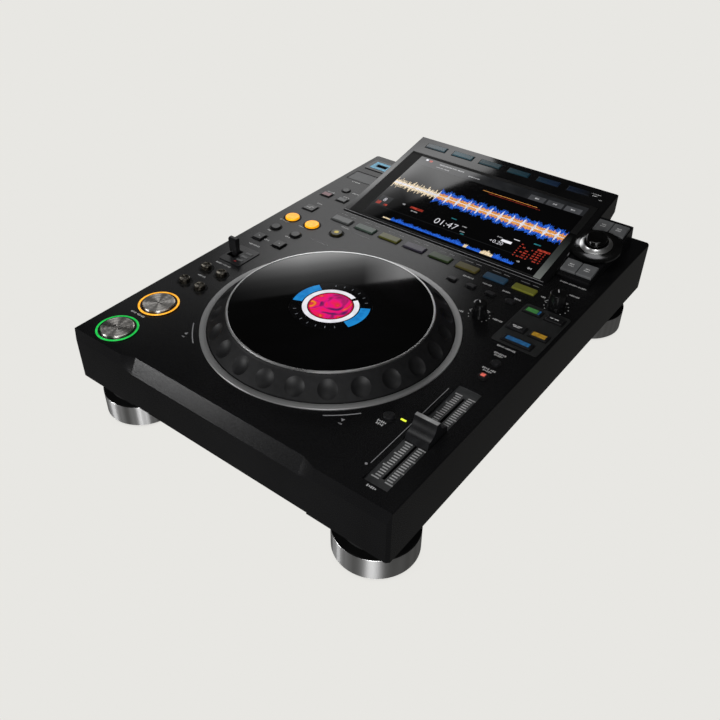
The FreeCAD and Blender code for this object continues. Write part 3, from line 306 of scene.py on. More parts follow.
litLooks = {
    # diffusing polycarbonate over amber lamps: evenly bright, the strongest spots on the panel
    "loopLitPolycarbonate": {"dark": "#ee9808", "light": "#ffb21a", "glow": 0.8,
                             "nodes": ["loop_in_key", "loop_out_key"]},
    # the same over a lamp that is off: a dark olive
    "exitUnlitPolycarbonate": {"dark": "#1c1a0d", "light": "#353014", "glow": 0.2, "mottle": 4.0,
                               "nodes": ["loop_exit_key"]},
    # diffusing acrylic rings round the two buttons: thin lines of even colour
    "playLitAcrylic": {"dark": "#0f9c3a", "light": "#1fb84a", "glow": 0.9},
    "cueLitAcrylic": {"dark": "#e59a1c", "light": "#ffb53c", "glow": 0.9},
    # windows of moulded acrylic in the keys: small tinted lights, some dim and some strong
    "greenLitAcrylic": {"dark": "#2a5a30", "light": "#3c7a3a", "glow": 0.5, "mottle": 2.0},
    "blueLitAcrylic": {"dark": "#143a5e", "light": "#1f5580", "glow": 0.55, "mottle": 2.0},
    "amberLitAcrylic": {"dark": "#7a5a18", "light": "#a57f22", "glow": 0.5, "mottle": 2.0},
    "redLitAcrylic": {"dark": "#b5483c", "light": "#d2675a", "glow": 0.7, "mottle": 1.5},
    "limeLitAcrylic": {"dark": "#b5c52a", "light": "#dcea3e", "glow": 1.0, "mottle": 1.5},
    "pinkLitAcrylic": {"dark": "#5c3d42", "light": "#7c5157", "glow": 0.35},
    "oliveLitAcrylic": {"dark": "#8a7a26", "light": "#b09c34", "glow": 0.7},
    "socketLitAcrylic": {"dark": "#2b6a84", "light": "#4a8fab", "glow": 0.6},
}
hotCueTints = {"a": "#4a4c4c", "b": "#3c4a42", "c": "#50501f", "d": "#37333f", "e": "#2c3a20", "f": "#4a4420",
               "g": "#1f3c52", "h": "#636420"}
for letter, tint in hotCueTints.items():  # polycarbonate keys over dim lamps: smoky colours in a row
    litLooks["hotCueLitPolycarbonate" + letter.upper()] = {
        "dark": tint, "light": tint, "glow": 0.12, "mottle": 6.0, "nodes": ["hot_cue_key_" + letter]}
rowLooks = {
    # clear polycarbonate keys over dim lamps, from grey through blue to black: the blue and teal are lamp
    # colour, the grey at the left end fading to black at the right end is painted sheen
    "menuLampAndSheenPolycarbonate": {"from": -99.5, "to": 94.5, "glow": 0.22, "nodes": ["menu_keys"], "stops": [
        (0.0, "#454b4f"), (0.2, "#33505a"), (0.4, "#2a3c42"), (0.6, "#12303a"), (0.8, "#102036"),
        (1.0, "#0b0c0f")]},
}
pixelLooks = {
    # lit display pixels: flat bright colour that has no shading of its own
    "pixelWhite": {"dark": "#dcdbe2", "light": "#efeef4", "mottle": 6},
    "pixelBlue": {"dark": "#1474bb", "light": "#1e88cd", "mottle": 6},
    "pixelGrey": {"dark": "#55585c", "light": "#6e7176", "mottle": 3},
    "pixelCrimson": {"dark": "#a3102f", "light": "#c8153c"},
    "pixelCream": {"dark": "#e3c79c", "light": "#fdeccb", "mottle": 1.5},
    "pixelWave": {"dark": "#1440a8", "light": "#2f74ee", "mottle": 1.5},
    "pixelOrange": {"dark": "#d9791d", "light": "#ffc06a", "mottle": 1.5},
    "pixelRed": {"dark": "#6f1e17", "light": "#b9402f", "mottle": 2},
    "pixelSoft": {"dark": "#8e8e90", "light": "#bcbcbe", "mottle": 4},
    "pixelTeal": {"dark": "#1d5d66", "light": "#2c828a", "mottle": 2},
    "pixelBar": {"dark": "#17181a", "light": "#222325", "mottle": 20},
    "pixelTab": {"dark": "#3a3b3d", "light": "#48494c", "mottle": 8},
}
inkLooks = {
    # pad-printed inks: flat and dull, with slightly uneven strokes
    "whitePrintedInk": {"dark": "#b4b4b4", "light": "#d6d6d6"},
    "greyPrintedInk": {"dark": "#77777a", "light": "#98989a"},
    "palePrintedInk": {"dark": "#a2a3a3", "light": "#c6c7c7"},
    "redPrintedInk": {"dark": "#8e1f22", "light": "#b92b2d"},
    "darkPrintedInk": {"dark": "#1c1b1a", "light": "#2a2928"},
}
finishes = {}
dressed = set()
for makeFinish, looks in ((mouldedPlastic, mouldedLooks), (glossPlastic, polishedLooks),
                          (turnedMetal, turnedLooks), (plainMetal, metalLooks), (litPlastic, litLooks),
                          (bandedKeys, rowLooks), (screenPixel, pixelLooks), (printedInk, inkLooks)):
    for name, look in looks.items():
        finishes[name] = makeFinish(name, look)
        for node in look.get("nodes", []):
            slots = frame["nodes"][node].data.materials
            slots.clear()
            slots.append(finishes[name])
            dressed.add(node)
print("finishes:", len(finishes), "nodes without one:", sorted(set(frame["nodes"]) - dressed))


# Places to build in, each in millimetres: the panel and the sloped face of the screen block

scaleToMm = Matrix.Diagonal((mm, mm, mm, 1))
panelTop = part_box("upper_case")[1].z
panel = Matrix.Translation((0, 0, panelTop)) @ scaleToMm
menuPress = [joint for joint in frame["joints"] if joint["name"] == "menu_keys_press"][0]
slope = math.atan2(menuPress["axis"][1], -menuPress["axis"][2])
screenLip = 0.9
screen = (Matrix.Translation((0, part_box("display_housing")[0].y, panelTop + screenLip * mm))
          @ Matrix.Rotation(slope, 4, "X") @ scaleToMm)


def topOf(node):
    # height of a node's top over the panel, in millimetres
    return (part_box(node)[1] / mm).z - panelTop / mm


def addBar(mesh, place, x, y, width, length, low, high, turn=0.0):
    spot = Matrix.Translation((x, y, (low + high) / 2)) @ Matrix.Rotation(math.radians(turn), 4, "Z")
    bmesh.ops.create_cube(mesh, size=1, matrix=place @ spot @ Matrix.Diagonal((width, length, high - low, 1)))


def addDisc(mesh, place, x, y, radius, low, high, sides=40, turn=0.0):
    spot = Matrix.Translation((x, y, (low + high) / 2)) @ Matrix.Rotation(math.radians(turn), 4, "Z")
    bmesh.ops.create_cone(mesh, cap_ends=True, segments=sides, radius1=radius, radius2=radius,
                          depth=high - low, matrix=place @ spot)


def addBars(mesh, place, bars, low, high):
    for x, y, width, length in bars:
        addBar(mesh, place, x, y, width, length, low, high)


def addFrame(mesh, place, x, y, width, length, rim, low, high):
    # four bars round an opening of width by length
    for side in (-1, 1):
        addBar(mesh, place, x + side * (width + rim) / 2, y, rim, length + 2 * rim, low, high)
        addBar(mesh, place, x, y + side * (length + rim) / 2, width, rim, low, high)


def addRing(mesh, place, x, y, profile, start=0.0, sweep=360.0, steps=72):
    # a closed profile of (radius, height) swept round an upright axis
    turn = Matrix.Rotation(math.radians(start), 4, "Z")
    spot = place @ Matrix.Translation((x, y, 0))
    corners = [mesh.verts.new(spot @ turn @ Vector((radius, 0, height))) for radius, height in profile]
    edges = [mesh.edges.new((corners[index - 1], corners[index])) for index in range(len(corners))]
    whole = sweep >= 360
    bmesh.ops.spin(mesh, geom=corners + edges, cent=spot @ Vector((0, 0, 0)),
                   axis=(spot.to_3x3() @ Vector((0, 0, 1))).normalized(), angle=math.radians(sweep),
                   steps=steps, use_merge=whole, use_duplicate=False)
    if not whole:
        bmesh.ops.holes_fill(mesh, edges=[edge for edge in mesh.edges if edge.is_boundary])


def flatProfile(inner, outer, low, high):
    return [(inner, low), (outer, low), (outer, high), (inner, high)]


def finishPiece(name, mesh, finish, body="player", smooth=False):
    bmesh.ops.remove_doubles(mesh, verts=mesh.verts, dist=0.00000001)
    bmesh.ops.recalc_face_normals(mesh, faces=mesh.faces)
    data = bpy.data.meshes.new(name)
    mesh.to_mesh(data)
    mesh.free()
    if smooth:
        data.shade_smooth()
        data.set_sharp_from_angle(angle=math.radians(35))
    data.materials.append(finishes[finish])
    piece = bpy.data.objects.new(name, data)
    bpy.context.scene.collection.objects.link(piece)
    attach(piece, body)


def finishPicture(name, mesh, pixel):
    finishPiece(name, mesh, pixel)


# Lit rings round the two transport buttons, and their marks

transport = {"x": playCentre[0], "playY": playCentre[1], "cueY": cueCentre[1], "ringTop": 1.0, "inner": 16.3,
             "outer": 18.1, "lift": 0.25, "sink": 0.3}
low, high = transport["ringTop"] - transport["sink"], transport["ringTop"] + transport["lift"]
edge = transport["lift"]  # the lamp's two upper edges are bevelled by this much
inner, outer = transport["inner"], transport["outer"]
for name, placeY, lamp in (("playRingLight", transport["playY"], "playLitAcrylic"),
                           ("cueRingLight", transport["cueY"], "cueLitAcrylic")):
    mesh = bmesh.new()
    addRing(mesh, panel, transport["x"], placeY, [
        (inner, low), (outer, low), (outer, high - edge / 2), (outer - edge, high), (inner + edge, high),
        (inner, high - edge / 2)])
    finishPiece(name, mesh, lamp, smooth=True)

# signs printed in the dished middles of the caps
symbol = {"left": -3.0, "triangle": 2.1, "slash": 0.2, "bar": 0.8, "barLength": 3.4, "pairAt": (2.6, 4.1),
          "low": -0.6, "high": -0.32}
capTop = topOf("play_button")
low, high = capTop + symbol["low"], capTop + symbol["high"]
mesh = bmesh.new()
addDisc(mesh, panel, transport["x"] + symbol["left"], transport["playY"], symbol["triangle"], low, high,
        sides=3, turn=-90)
addBar(mesh, panel, transport["x"] + symbol["slash"], transport["playY"], 0.35, 4.6, low, high, turn=-25)
addBars(mesh, panel, [(transport["x"] + side, transport["playY"], symbol["bar"], symbol["barLength"])
                      for side in symbol["pairAt"]], low, high)
finishPiece("playMark", mesh, "darkPrintedInk", "play_button")
mesh = bmesh.new()
addBars(mesh, panel, [(transport["x"] + side, transport["cueY"], size, 0.5)
                      for side, size in ((-3.0, 2.2), (-0.3, 2.0), (2.4, 2.4))], low, high)
finishPiece("cueMark", mesh, "darkPrintedInk", "cue_button")
print("transport buttons done")


# Painted shade in the wells that the keys stand in: flat black rings and frames a fraction of a millimetre
# thick

wellShade = {"thick": 0.12, "step": 0.35, "lip": 0.3, "rim": 0.8}
roundWellShades = [  # x, y, hole radius, outer radius
    (-143.8, -117.2, 5.1, 7.4), (-124.2, -117.2, 5.1, 7.4), (-143.8, -89.8, 5.1, 7.4),
    (-124.2, -89.8, 5.1, 7.4), (-144.4, 33.2, 7.4, 9.4), (-118.4, 33.2, 7.4, 9.4), (-88.3, 35.2, 6.0, 8.0),
    (-144.4, 7.7, 5.0, 6.6), (-118.4, 7.7, 5.0, 6.6), (109.0, -150.3, 4.6, 5.8), (-137.8, 114.3, 4.4, 5.4),
    (139.8, -48.0, 3.8, 4.8), (139.8, -68.3, 3.8, 4.8),
]
squareWellShades = [  # x, y, width, length
    (-144.4, -16.5, 10.9, 10.9), (-118.4, -16.5, 10.9, 10.9), (-143.2, 60.3, 13.4, 11.4),
    (-148.6, 94.3, 11.9, 8.4), (-127.6, 94.3, 11.9, 8.4), (-141.5, 151.0, 31.4, 19.4),
]
hotCueRow = {"x": -100.0, "y": 60.0, "pitch": 29.6, "count": 8}
modeRow = {"x": 47.0, "y": 35.3, "pitch": 19.73, "count": 4}
for row, width, length in ((hotCueRow, 22.4, 9.4), (modeRow, 9.0, 6.0)):
    squareWellShades += [(row["x"] + row["pitch"] * index, row["y"], width, length)
                    for index in range(row["count"])]
mesh = bmesh.new()
for x, y, inner, outer in roundWellShades:
    addRing(mesh, panel, x, y, [(inner, 0), (outer, 0), (outer, wellShade["thick"]),
                                (outer - wellShade["lip"], wellShade["step"]), (inner, wellShade["thick"])], steps=36)
for x, y, width, length in squareWellShades:
    addFrame(mesh, panel, x, y, width, length, wellShade["rim"], 0, wellShade["thick"])
finishPiece("keyWellShade", mesh, "paintedShadeAndBorderBlack")
# painted shade round the sync keys
syncWellShade = {"plateTop": 0.6, "small": (15.9, 8.9), "wide": (26.4, 8.9)}
mesh = bmesh.new()
for x, y, size in ((130.0, 33.0, "small"), (150.4, 33.0, "small"), (130.0, 4.0, "small"),
                   (150.4, 4.0, "small"), (140.2, -13.5, "wide")):
    addFrame(mesh, panel, x, y, *syncWellShade[size], wellShade["rim"], syncWellShade["plateTop"],
             syncWellShade["plateTop"] + wellShade["thick"])
finishPiece("syncWellShade", mesh, "paintedShadeAndBorderBlack")
# painted shade round the menu keys
menuRow = {"x": -87.5, "v": 136.5, "pitch": 34.0, "count": 6, "width": 24.4, "length": 7.4, "rim": 0.9}
mesh = bmesh.new()
for index in range(menuRow["count"]):
    addFrame(mesh, screen, menuRow["x"] + menuRow["pitch"] * index, menuRow["v"], menuRow["width"],
             menuRow["length"], menuRow["rim"], 0, wellShade["thick"])
finishPiece("menuWellShade", mesh, "paintedShadeAndBorderBlack")
print("key wells done")


# Printing on the panel: rows of strokes, lines and small signs

inkTop = 0.05


def addStrokes(mesh, place, x, y, words, height=1.3, letter=0.75, gap=0.35, base=0.0):
    # a legend: short upright strokes in groups
    total = sum(words) * (letter + gap) + (len(words) - 1) * letter
    spot = x - total / 2
    for word in words:
        for index in range(word):
            tall = height * (1.0 if (index * 7 + word) % 3 else 0.55)
            addBar(mesh, place, spot + letter / 2, y, letter, tall, base, base + inkTop)
            spot += letter + gap
        spot += letter


legends = [  # x, y, strokes in each group
    (-137.2, -178.0, (4, 6)), (-137.6, -101.7, (6,)), (-136.1, -75.3, (5, 6)), (-137.7, -31.1, (9,)),
    (-134.6, -16.5, (4,)), (-146.0, -0.3, (3,)), (-122.1, 0.6, (4,)), (-146.7, 23.9, (2, 5)),
    (-121.9, 24.8, (3, 5)), (-88.3, 49.7, (6,)), (-141.1, 73.5, (4,)), (-148.6, 101.8, (6,)),
    (-127.6, 101.8, (5,)), (-124.6, 114.3, (5,)), (-141.5, 137.0, (2, 4)), (56.8, 47.4, (7,)),
    (76.6, 47.4, (6,)), (96.2, 47.4, (5,)), (110.0, 42.6, (4,)), (111.6, 4.4, (6,)), (80.0, -3.0, (3,)),
    (138.5, 93.6, (5, 5, 5)), (147.3, 77.6, (6,)), (126.0, 60.0, (3,)), (136.7, -25.6, (4, 6)),
    (136.7, -35.3, (7,)), (136.7, -38.0, (5,)), (139.3, -57.6, (4, 3)), (139.3, -60.4, (5,)),
    (108.3, -157.9, (5,)), (108.3, -160.8, (4,)), (140.2, -213.6, (5,)), (130.0, 18.6, (5,)),
    (150.4, 18.6, (5,)),
]
mesh = bmesh.new()
for x, y, words in legends:
    addStrokes(mesh, panel, x, y, words, height=2.1, letter=0.9, gap=0.7)
finishPiece("panelLegends", mesh, "whitePrintedInk")

# lines of x, y, width, length, and a dot of x, y, radius at the front end of the tempo line
panelLines = {
    "onPanel": [(-91.7, 12.0, 22.0, 0.5), (-66.0, 47.0, 20.0, 0.5), (-112.0, 33.2, 5.0, 0.4),
                (126.3, -146.0, 0.5, 100.0), (3.5, 76.8, 226.0, 0.5)],
    "tempoDot": (124.2, -198.4, 1.1),
    "onBlock": [(1.0, 0.9, 228.0, 0.5)],
}
mesh = bmesh.new()
addBars(mesh, panel, panelLines["onPanel"], 0, inkTop)
addDisc(mesh, panel, *panelLines["tempoDot"], 0, inkTop, 16)
addBars(mesh, screen, panelLines["onBlock"], 0, inkTop)
finishPiece("panelLines", mesh, "greyPrintedInk")

jogMarks = {"radius": 116.0, "width": 0.9, "sweep": 14.0, "turns": (225.5, -47.0), "arrow": 121.5, "side": 1.9}
mesh = bmesh.new()
for turn in jogMarks["turns"]:
    addRing(mesh, panel, *dialCentre,
            flatProfile(jogMarks["radius"], jogMarks["radius"] + jogMarks["width"], 0, inkTop),
            turn - jogMarks["sweep"] / 2, jogMarks["sweep"], 10)
    reach = math.radians(turn)
    x = dialCentre[0] + jogMarks["arrow"] * math.cos(reach)
    y = dialCentre[1] + jogMarks["arrow"] * math.sin(reach)
    addDisc(mesh, panel, x, y, jogMarks["side"], 0, inkTop, 3, turn=turn)
    addStrokes(mesh, panel, x + 1.0, y - 4.4, (3,))
finishPiece("jogMarks", mesh, "greyPrintedInk")

# three steps and a red sign beside the lever
leverMarks = {"x": -128.6, "y": -54.6, "pitch": 6.4, "width": 7.5, "length": 2.6, "thick": 0.5, "redX": -131.0,
              "redY": -64.84, "redWidth": 2.6, "redLength": 1.3}
plateTop = topOf("lever_plate")
mesh = bmesh.new()
for step in (-1, 0, 1):
    addBar(mesh, panel, leverMarks["x"], leverMarks["y"] + step * leverMarks["pitch"], leverMarks["width"],
           leverMarks["length"], plateTop, plateTop + leverMarks["thick"])
finishPiece("leverSteps", mesh, "smokedPolycarbonate")
mesh = bmesh.new()
addBar(mesh, panel, leverMarks["redX"], leverMarks["redY"], leverMarks["redWidth"], leverMarks["redLength"],
       plateTop, plateTop + inkTop)
finishPiece("leverRedMark", mesh, "redPrintedInk")

# small signs in the dished tops of the search and track keys
searchSign = {"side": 1.2, "below": 0.75, "thick": 0.4}
high = topOf("search_keys") - searchSign["below"]
mesh = bmesh.new()
for x, y, turn in ((-143.8, -117.2, 90), (-124.2, -117.2, -90), (-143.8, -89.8, 90), (-124.2, -89.8, -90)):
    addDisc(mesh, panel, x, y, searchSign["side"], high - searchSign["thick"], high, 3, turn=turn)
finishPiece("searchSigns", mesh, "darkPrintedInk", "search_keys")
print("panel printing done")


# Lamps and signs on the keys

def addLamp(name, node, lamp, tiles, thick=0.12):
    # thin lit windows on top of a key: x, y, width, length
    mesh = bmesh.new()
    addBars(mesh, panel, tiles, topOf(node) - thick, topOf(node) + thick)
    finishPiece(name, mesh, lamp, node)


addLamp("syncLampGreen", "sync_keys", "greenLitAcrylic", [(129.0, 33.0, 10.5, 5.6)])
addLamp("syncLampBlueTip", "sync_keys", "blueLitAcrylic", [(135.6, 33.0, 1.6, 5.6)])
addLamp("syncLampAmber", "sync_keys", "amberLitAcrylic", [(150.4, 4.0, 12.0, 5.4)])
addLamp("syncLampBlue", "sync_keys", "blueLitAcrylic", [(140.2, -13.5, 21.0, 5.0)])
addLamp("syncSigns", "sync_keys", "whitePrintedInk", [
    (147.2, 33.0, 3.0, 1.0), (151.6, 33.0, 4.0, 1.0), (127.4, 4.8, 3.4, 0.9), (132.0, 4.8, 4.0, 0.9),
    (129.8, 3.0, 6.0, 0.9)])
addLamp("masterLamp", "tempo_keys", "redLitAcrylic", [(139.8, -68.3, 3.6, 3.6)])
addLamp("beatSigns", "beat_keys", "whitePrintedInk", [(-144.4, -16.5, 1.2, 1.2), (-118.4, -16.5, 1.2, 1.2)])
addLamp("slipSign", "media_keys", "whitePrintedInk", [(-144.6, 59.2, 4.6, 0.8), (-141.8, 61.6, 4.6, 0.8)])
addLamp("sourceLampPink", "media_keys", "pinkLitAcrylic", [(-148.6, 94.3, 9.6, 6.2)])
addLamp("sourceLampGrey", "media_keys", "smokedPolycarbonate", [(-127.6, 94.3, 9.6, 6.2)])
tempoLamp = {"bar": (119.6, -146.9, 4.6, 1.5), "thick": 0.4}
mesh = bmesh.new()
addBars(mesh, panel, [tempoLamp["bar"]], 0, tempoLamp["thick"])
finishPiece("tempoLamp", mesh, "limeLitAcrylic")
exitDot = {"x": -88.3, "y": 35.2, "radius": 2.4, "half": 0.1}
exitTop = topOf("loop_exit_key")
mesh = bmesh.new()
addDisc(mesh, panel, exitDot["x"], exitDot["y"], exitDot["radius"], exitTop - exitDot["half"],
        exitTop + exitDot["half"], 24)
finishPiece("exitLampDot", mesh, "oliveLitAcrylic", "loop_exit_key")

# two grey strokes behind each hot cue key
mesh = bmesh.new()
for index in range(hotCueRow["count"]):
    x = hotCueRow["x"] + hotCueRow["pitch"] * index
    addBars(mesh, panel, [(x - 5.0, 71.4, 9.0, 0.6), (x + 5.5, 71.4, 6.0, 0.6)], 0, inkTop)
finishPiece("hotCueLines", mesh, "greyPrintedInk")
print("lamps done")


# Tempo scale in the fader recess

scaleTicks = {"x": 140.2, "y": -148.2, "travel": 53.8, "count": 20, "inner": 2.6, "short": 4.6, "long": 6.2,
              "thick": 1.1}
floorTop = -3.2  # floor of the recess, from the panel
mesh = bmesh.new()
for index in range(-scaleTicks["count"], scaleTicks["count"] + 1):
    y = scaleTicks["y"] + index * scaleTicks["travel"] / scaleTicks["count"]
    length = scaleTicks["long"] if index % 5 == 0 else scaleTicks["short"]
    for side in (-1, 1):
        x = scaleTicks["x"] + side * (scaleTicks["inner"] + length / 2)
        addBar(mesh, panel, x, y, length, scaleTicks["thick"], floorTop, floorTop + inkTop)
finishPiece("tempoTicks", mesh, "palePrintedInk")


# Knob pointers and the dots round the knobs

# node, x, y, radius and turn of the pointer
knobs = [("vinyl_knob", 95.3, 1.0, 6.6, 130), ("brake_knob", 141.9, 52.5, 8.0, 118)]
# shares of the radius
knobTop = {"armAt": 0.45, "armLength": 0.7, "ringIn": 0.66, "ringEdge": 0.8, "ringOut": 0.86}
knobDots = {"start": -45, "step": 27, "count": 11, "gap": 2.6, "radius": 0.5, "arcIn": 4.0, "arcOut": 4.5,
            "arcStart": 60, "arcSweep": 110}
for node, x, y, radius, turn in knobs:
    top = topOf(node)
    reach = math.radians(turn)
    arm = radius * knobTop["armAt"]
    mesh = bmesh.new()
    addBar(mesh, panel, x + arm * math.cos(reach), y + arm * math.sin(reach), radius * knobTop["armLength"],
           0.8, top - 0.05, top + inkTop, turn)
    finishPiece(node.replace("_knob", "Pointer"), mesh, "whitePrintedInk", node)
for node, x, y, radius, turn in knobs:
    top = topOf(node)
    inner, edge, outer = (radius * knobTop[part] for part in ("ringIn", "ringEdge", "ringOut"))
    mesh = bmesh.new()
    addRing(mesh, panel, x, y, [(inner, top - 0.3), (outer, top - 0.3), (outer, top - 0.05), (edge, top + 0.1),
                                (inner, top + 0.1)], steps=48)
    finishPiece(node.replace("_knob", "CapRing"), mesh, "blackChromePlate", node, smooth=True)
mesh = bmesh.new()
for node, x, y, radius, turn in knobs:
    for index in range(knobDots["count"]):
        reach = math.radians(knobDots["start"] + knobDots["step"] * index)
        away = radius + knobDots["gap"]
        addDisc(mesh, panel, x + away * math.cos(reach), y + away * math.sin(reach), knobDots["radius"], 0,
                inkTop, 8)
    addRing(mesh, panel, x, y, flatProfile(radius + knobDots["arcIn"], radius + knobDots["arcOut"], 0, inkTop),
            knobDots["arcStart"], knobDots["arcSweep"], 16)
finishPiece("knobDots", mesh, "whitePrintedInk")
print("knobs done")


# Bright ring where the selector's skirt runs up into its neck

selector = {"x": 134.2, "v": 66.0, "inner": 11.2, "outer": 14.8, "low": 4.1, "high": 7.5}
mesh = bmesh.new()
addRing(mesh, screen, selector["x"], selector["v"], [
    (selector["inner"], selector["low"]), (selector["outer"], selector["low"] - 0.4), (selector["outer"], 4.7),
    (13.2, 5.8), (selector["inner"] + 0.7, selector["high"]), (selector["inner"], selector["high"])], steps=90)
finishPiece("selectorRing", mesh, "brightChromePlate", "selector_knob", smooth=True)


# Memory stick socket: blue glow round its mouth

socketTop = topOf("usb_socket")
glow = {"x": -141.0, "y": 184.6, "width": 14.4, "length": 7.2, "rim": 4.4, "thick": 0.2}
mesh = bmesh.new()
addFrame(mesh, panel, glow["x"], glow["y"], glow["width"], glow["length"], glow["rim"], socketTop - 0.1,
         socketTop + glow["thick"])
finishPiece("usbGlowFrame", mesh, "socketLitAcrylic")


# Picture in the middle of the dial: a white ring with a gap, two blue arcs, ticks and a colour disc

dialPicture = {"discR": 17.9, "redIn": 18.1, "redOut": 19.0, "ringIn": 19.8, "ringOut": 24.1, "arcIn": 25.2,
               "arcOut": 33.4, "arcStarts": (146.0, -26.0), "arcSweep": 56.0, "gapTurn": 62.0, "gap": 9.0,
               "tickIn": 29.0, "tickOut": 31.5, "tickWidth": 0.6, "tickStep": 15.0, "thick": 0.06,
               "sunk": 0.02}
pictureTop = topOf("jog_window")
mesh = bmesh.new()
low, high = pictureTop - dialPicture["sunk"], pictureTop + dialPicture["thick"]
addRing(mesh, panel, *dialCentre, flatProfile(dialPicture["ringIn"], dialPicture["ringOut"], low, high),
        dialPicture["gapTurn"] + dialPicture["gap"] / 2, 360 - dialPicture["gap"], 90)
finishPicture("dialRing", mesh, "pixelWhite")
mesh = bmesh.new()
for start in dialPicture["arcStarts"]:
    addRing(mesh, panel, *dialCentre, flatProfile(dialPicture["arcIn"], dialPicture["arcOut"], low, high),
            start, dialPicture["arcSweep"], 20)
finishPicture("dialArcs", mesh, "pixelBlue")
mesh = bmesh.new()
radius = (dialPicture["tickIn"] + dialPicture["tickOut"]) / 2
for index in range(int(360 / dialPicture["tickStep"])):
    turn = index * dialPicture["tickStep"]
    if 40 < turn < 130 or 220 < turn < 320:  # the arcs fill the rest of the circle
        reach = math.radians(turn)
        addBar(mesh, panel, dialCentre[0] + radius * math.cos(reach), dialCentre[1] + radius * math.sin(reach),
               dialPicture["tickOut"] - dialPicture["tickIn"], dialPicture["tickWidth"], low, high, turn)
finishPicture("dialTicks", mesh, "pixelGrey")


def colourDisc():
    # lit picture of soft clouds that run from violet through magenta and red to orange
    material, tree, shader, place = startMaterial("colourDisc", Base_Color=(0.002, 0.002, 0.002, 1),
                                                  Roughness=0.08, Emission_Strength=1.0)
    clouds = addNode(tree, "ShaderNodeTexNoise", {"Scale": perMm(24.0), "Detail": 1.5, "Distortion": 2.4},
                     {"Vector": place})
    addShades(tree, shader, clouds.outputs[0], [
        (0.28, "#4a1a5c"), (0.38, "#8c1d58"), (0.46, "#e0157e"), (0.53, "#f01464"), (0.6, "#d3303a"),
        (0.68, "#f08a24")], "Emission Color")
    return material


finishes["colourDisc"] = colourDisc()
mesh = bmesh.new()
addDisc(mesh, panel, *dialCentre, dialPicture["discR"], low, high, 72)
finishPicture("dialColourDisc", mesh, "colourDisc")
mesh = bmesh.new()
addRing(mesh, panel, *dialCentre, flatProfile(dialPicture["redIn"], dialPicture["redOut"], low, high))
finishPicture("dialRedRing", mesh, "pixelCrimson")
print("dial picture done")


# Picture on the screen: all tiles lie on the glass, a few hundredths of a millimetre apart

picture = {"left": -93.6, "right": 103.4, "layer": 0.03}

# calm part up to the change, then steady beats; the shares say how much of each goes into the height
wave = {"middle": 64.5, "change": -40.0, "calm": 6.4, "loud": 13.6, "pitch": 0.6, "bar": 0.48, "beat": 12.3,
        "calmFloor": 0.42, "calmSpikes": 1.5, "floor": 0.3, "beatShare": 0.28, "roughShare": 0.3,
        "spikeShare": 0.35}


def ripple(x, seed, layer):
    # smooth random height from -1 to 1
    return noise.noise(Vector((x, seed, layer)))


def waveReach(x, seed):
    # half height of the wave at x
    if x < wave["change"]:
        spikes = max(0.0, ripple(x * 0.75, seed, 2.2)) + 0.6 * abs(ripple(x * 2.1, seed, 4.4))
        return wave["calm"] * (wave["calmFloor"] + wave["calmSpikes"] * spikes)
    beat = abs(math.cos(math.pi * (x - wave["change"]) / wave["beat"]))
    rough = 0.5 + 0.5 * ripple(x * 1.7, seed, 0.3)
    spike = abs(ripple(x * 5.3, seed, 7.7))
    return wave["loud"] * (wave["floor"] + wave["beatShare"] * beat + wave["roughShare"] * rough
                           + wave["spikeShare"] * spike)


waves = {"waveCream": ("pixelCream", 1), "waveBlue": ("pixelWave", 1), "waveOrange": ("pixelOrange", 2),
         "waveWhite": ("pixelWhite", 3)}
for name, (pixel, layer) in waves.items():
    mesh = bmesh.new()
    count = int((picture["right"] - picture["left"]) / wave["pitch"])
    for index in range(count):
        x = picture["left"] + (index + 0.5) * wave["pitch"]
        early = x < wave["change"]
        reach = waveReach(x, 1.0)
        spike = abs(math.cos(math.pi * (x - wave["change"]) / wave["beat"])) ** 30
        between = abs(math.sin(math.pi * (x - wave["change"]) / wave["beat"]))
        if name == "waveCream" and not early or name == "waveBlue" and early:
            continue
        if name == "waveOrange":
            reach = 0 if early else reach * (0.16 + 0.3 * between + 0.6 * abs(ripple(x * 1.9, 5.0, 0)))
        if name == "waveWhite":
            reach = waveReach(x, 3.0) * (0.25 if early else 0.07 + 0.75 * spike)
        if reach < 0.3:
            continue
        addBar(mesh, screen, x, wave["middle"], wave["bar"], 2 * reach, 0, picture["layer"] * layer)
    finishPicture(name, mesh, pixel)

# the whole track in small: bars that stand on one line, cream where it is calm
overview = {"foot": 7.8, "left": -69.0, "right": 80.0, "reach": 9.6, "pitch": 0.62, "bar": 0.55, "intro": 9.0}
for name, pixel in (("overviewBlue", "pixelWave"), ("overviewCream", "pixelCream")):
    mesh = bmesh.new()
    count = int((overview["right"] - overview["left"]) / overview["pitch"])
    for index in range(count):
        x = overview["left"] + index * overview["pitch"]
        intro = x < overview["left"] + overview["intro"]
        cream = ripple(x * 0.05, 9.0, 0) > 0.16 or intro
        if cream != (name == "overviewCream"):
            continue
        swell = 0.5 + 0.9 * abs(ripple(x * 0.09, 4.0, 0)) - (0.3 if intro else 0)
        reach = overview["reach"] * swell * (0.55 + 0.6 * abs(ripple(x * 2.6, 2.0, 0)))
        addBar(mesh, screen, x, overview["foot"] + reach / 2, overview["bar"], reach, 0, picture["layer"])
    finishPicture(name, mesh, pixel)

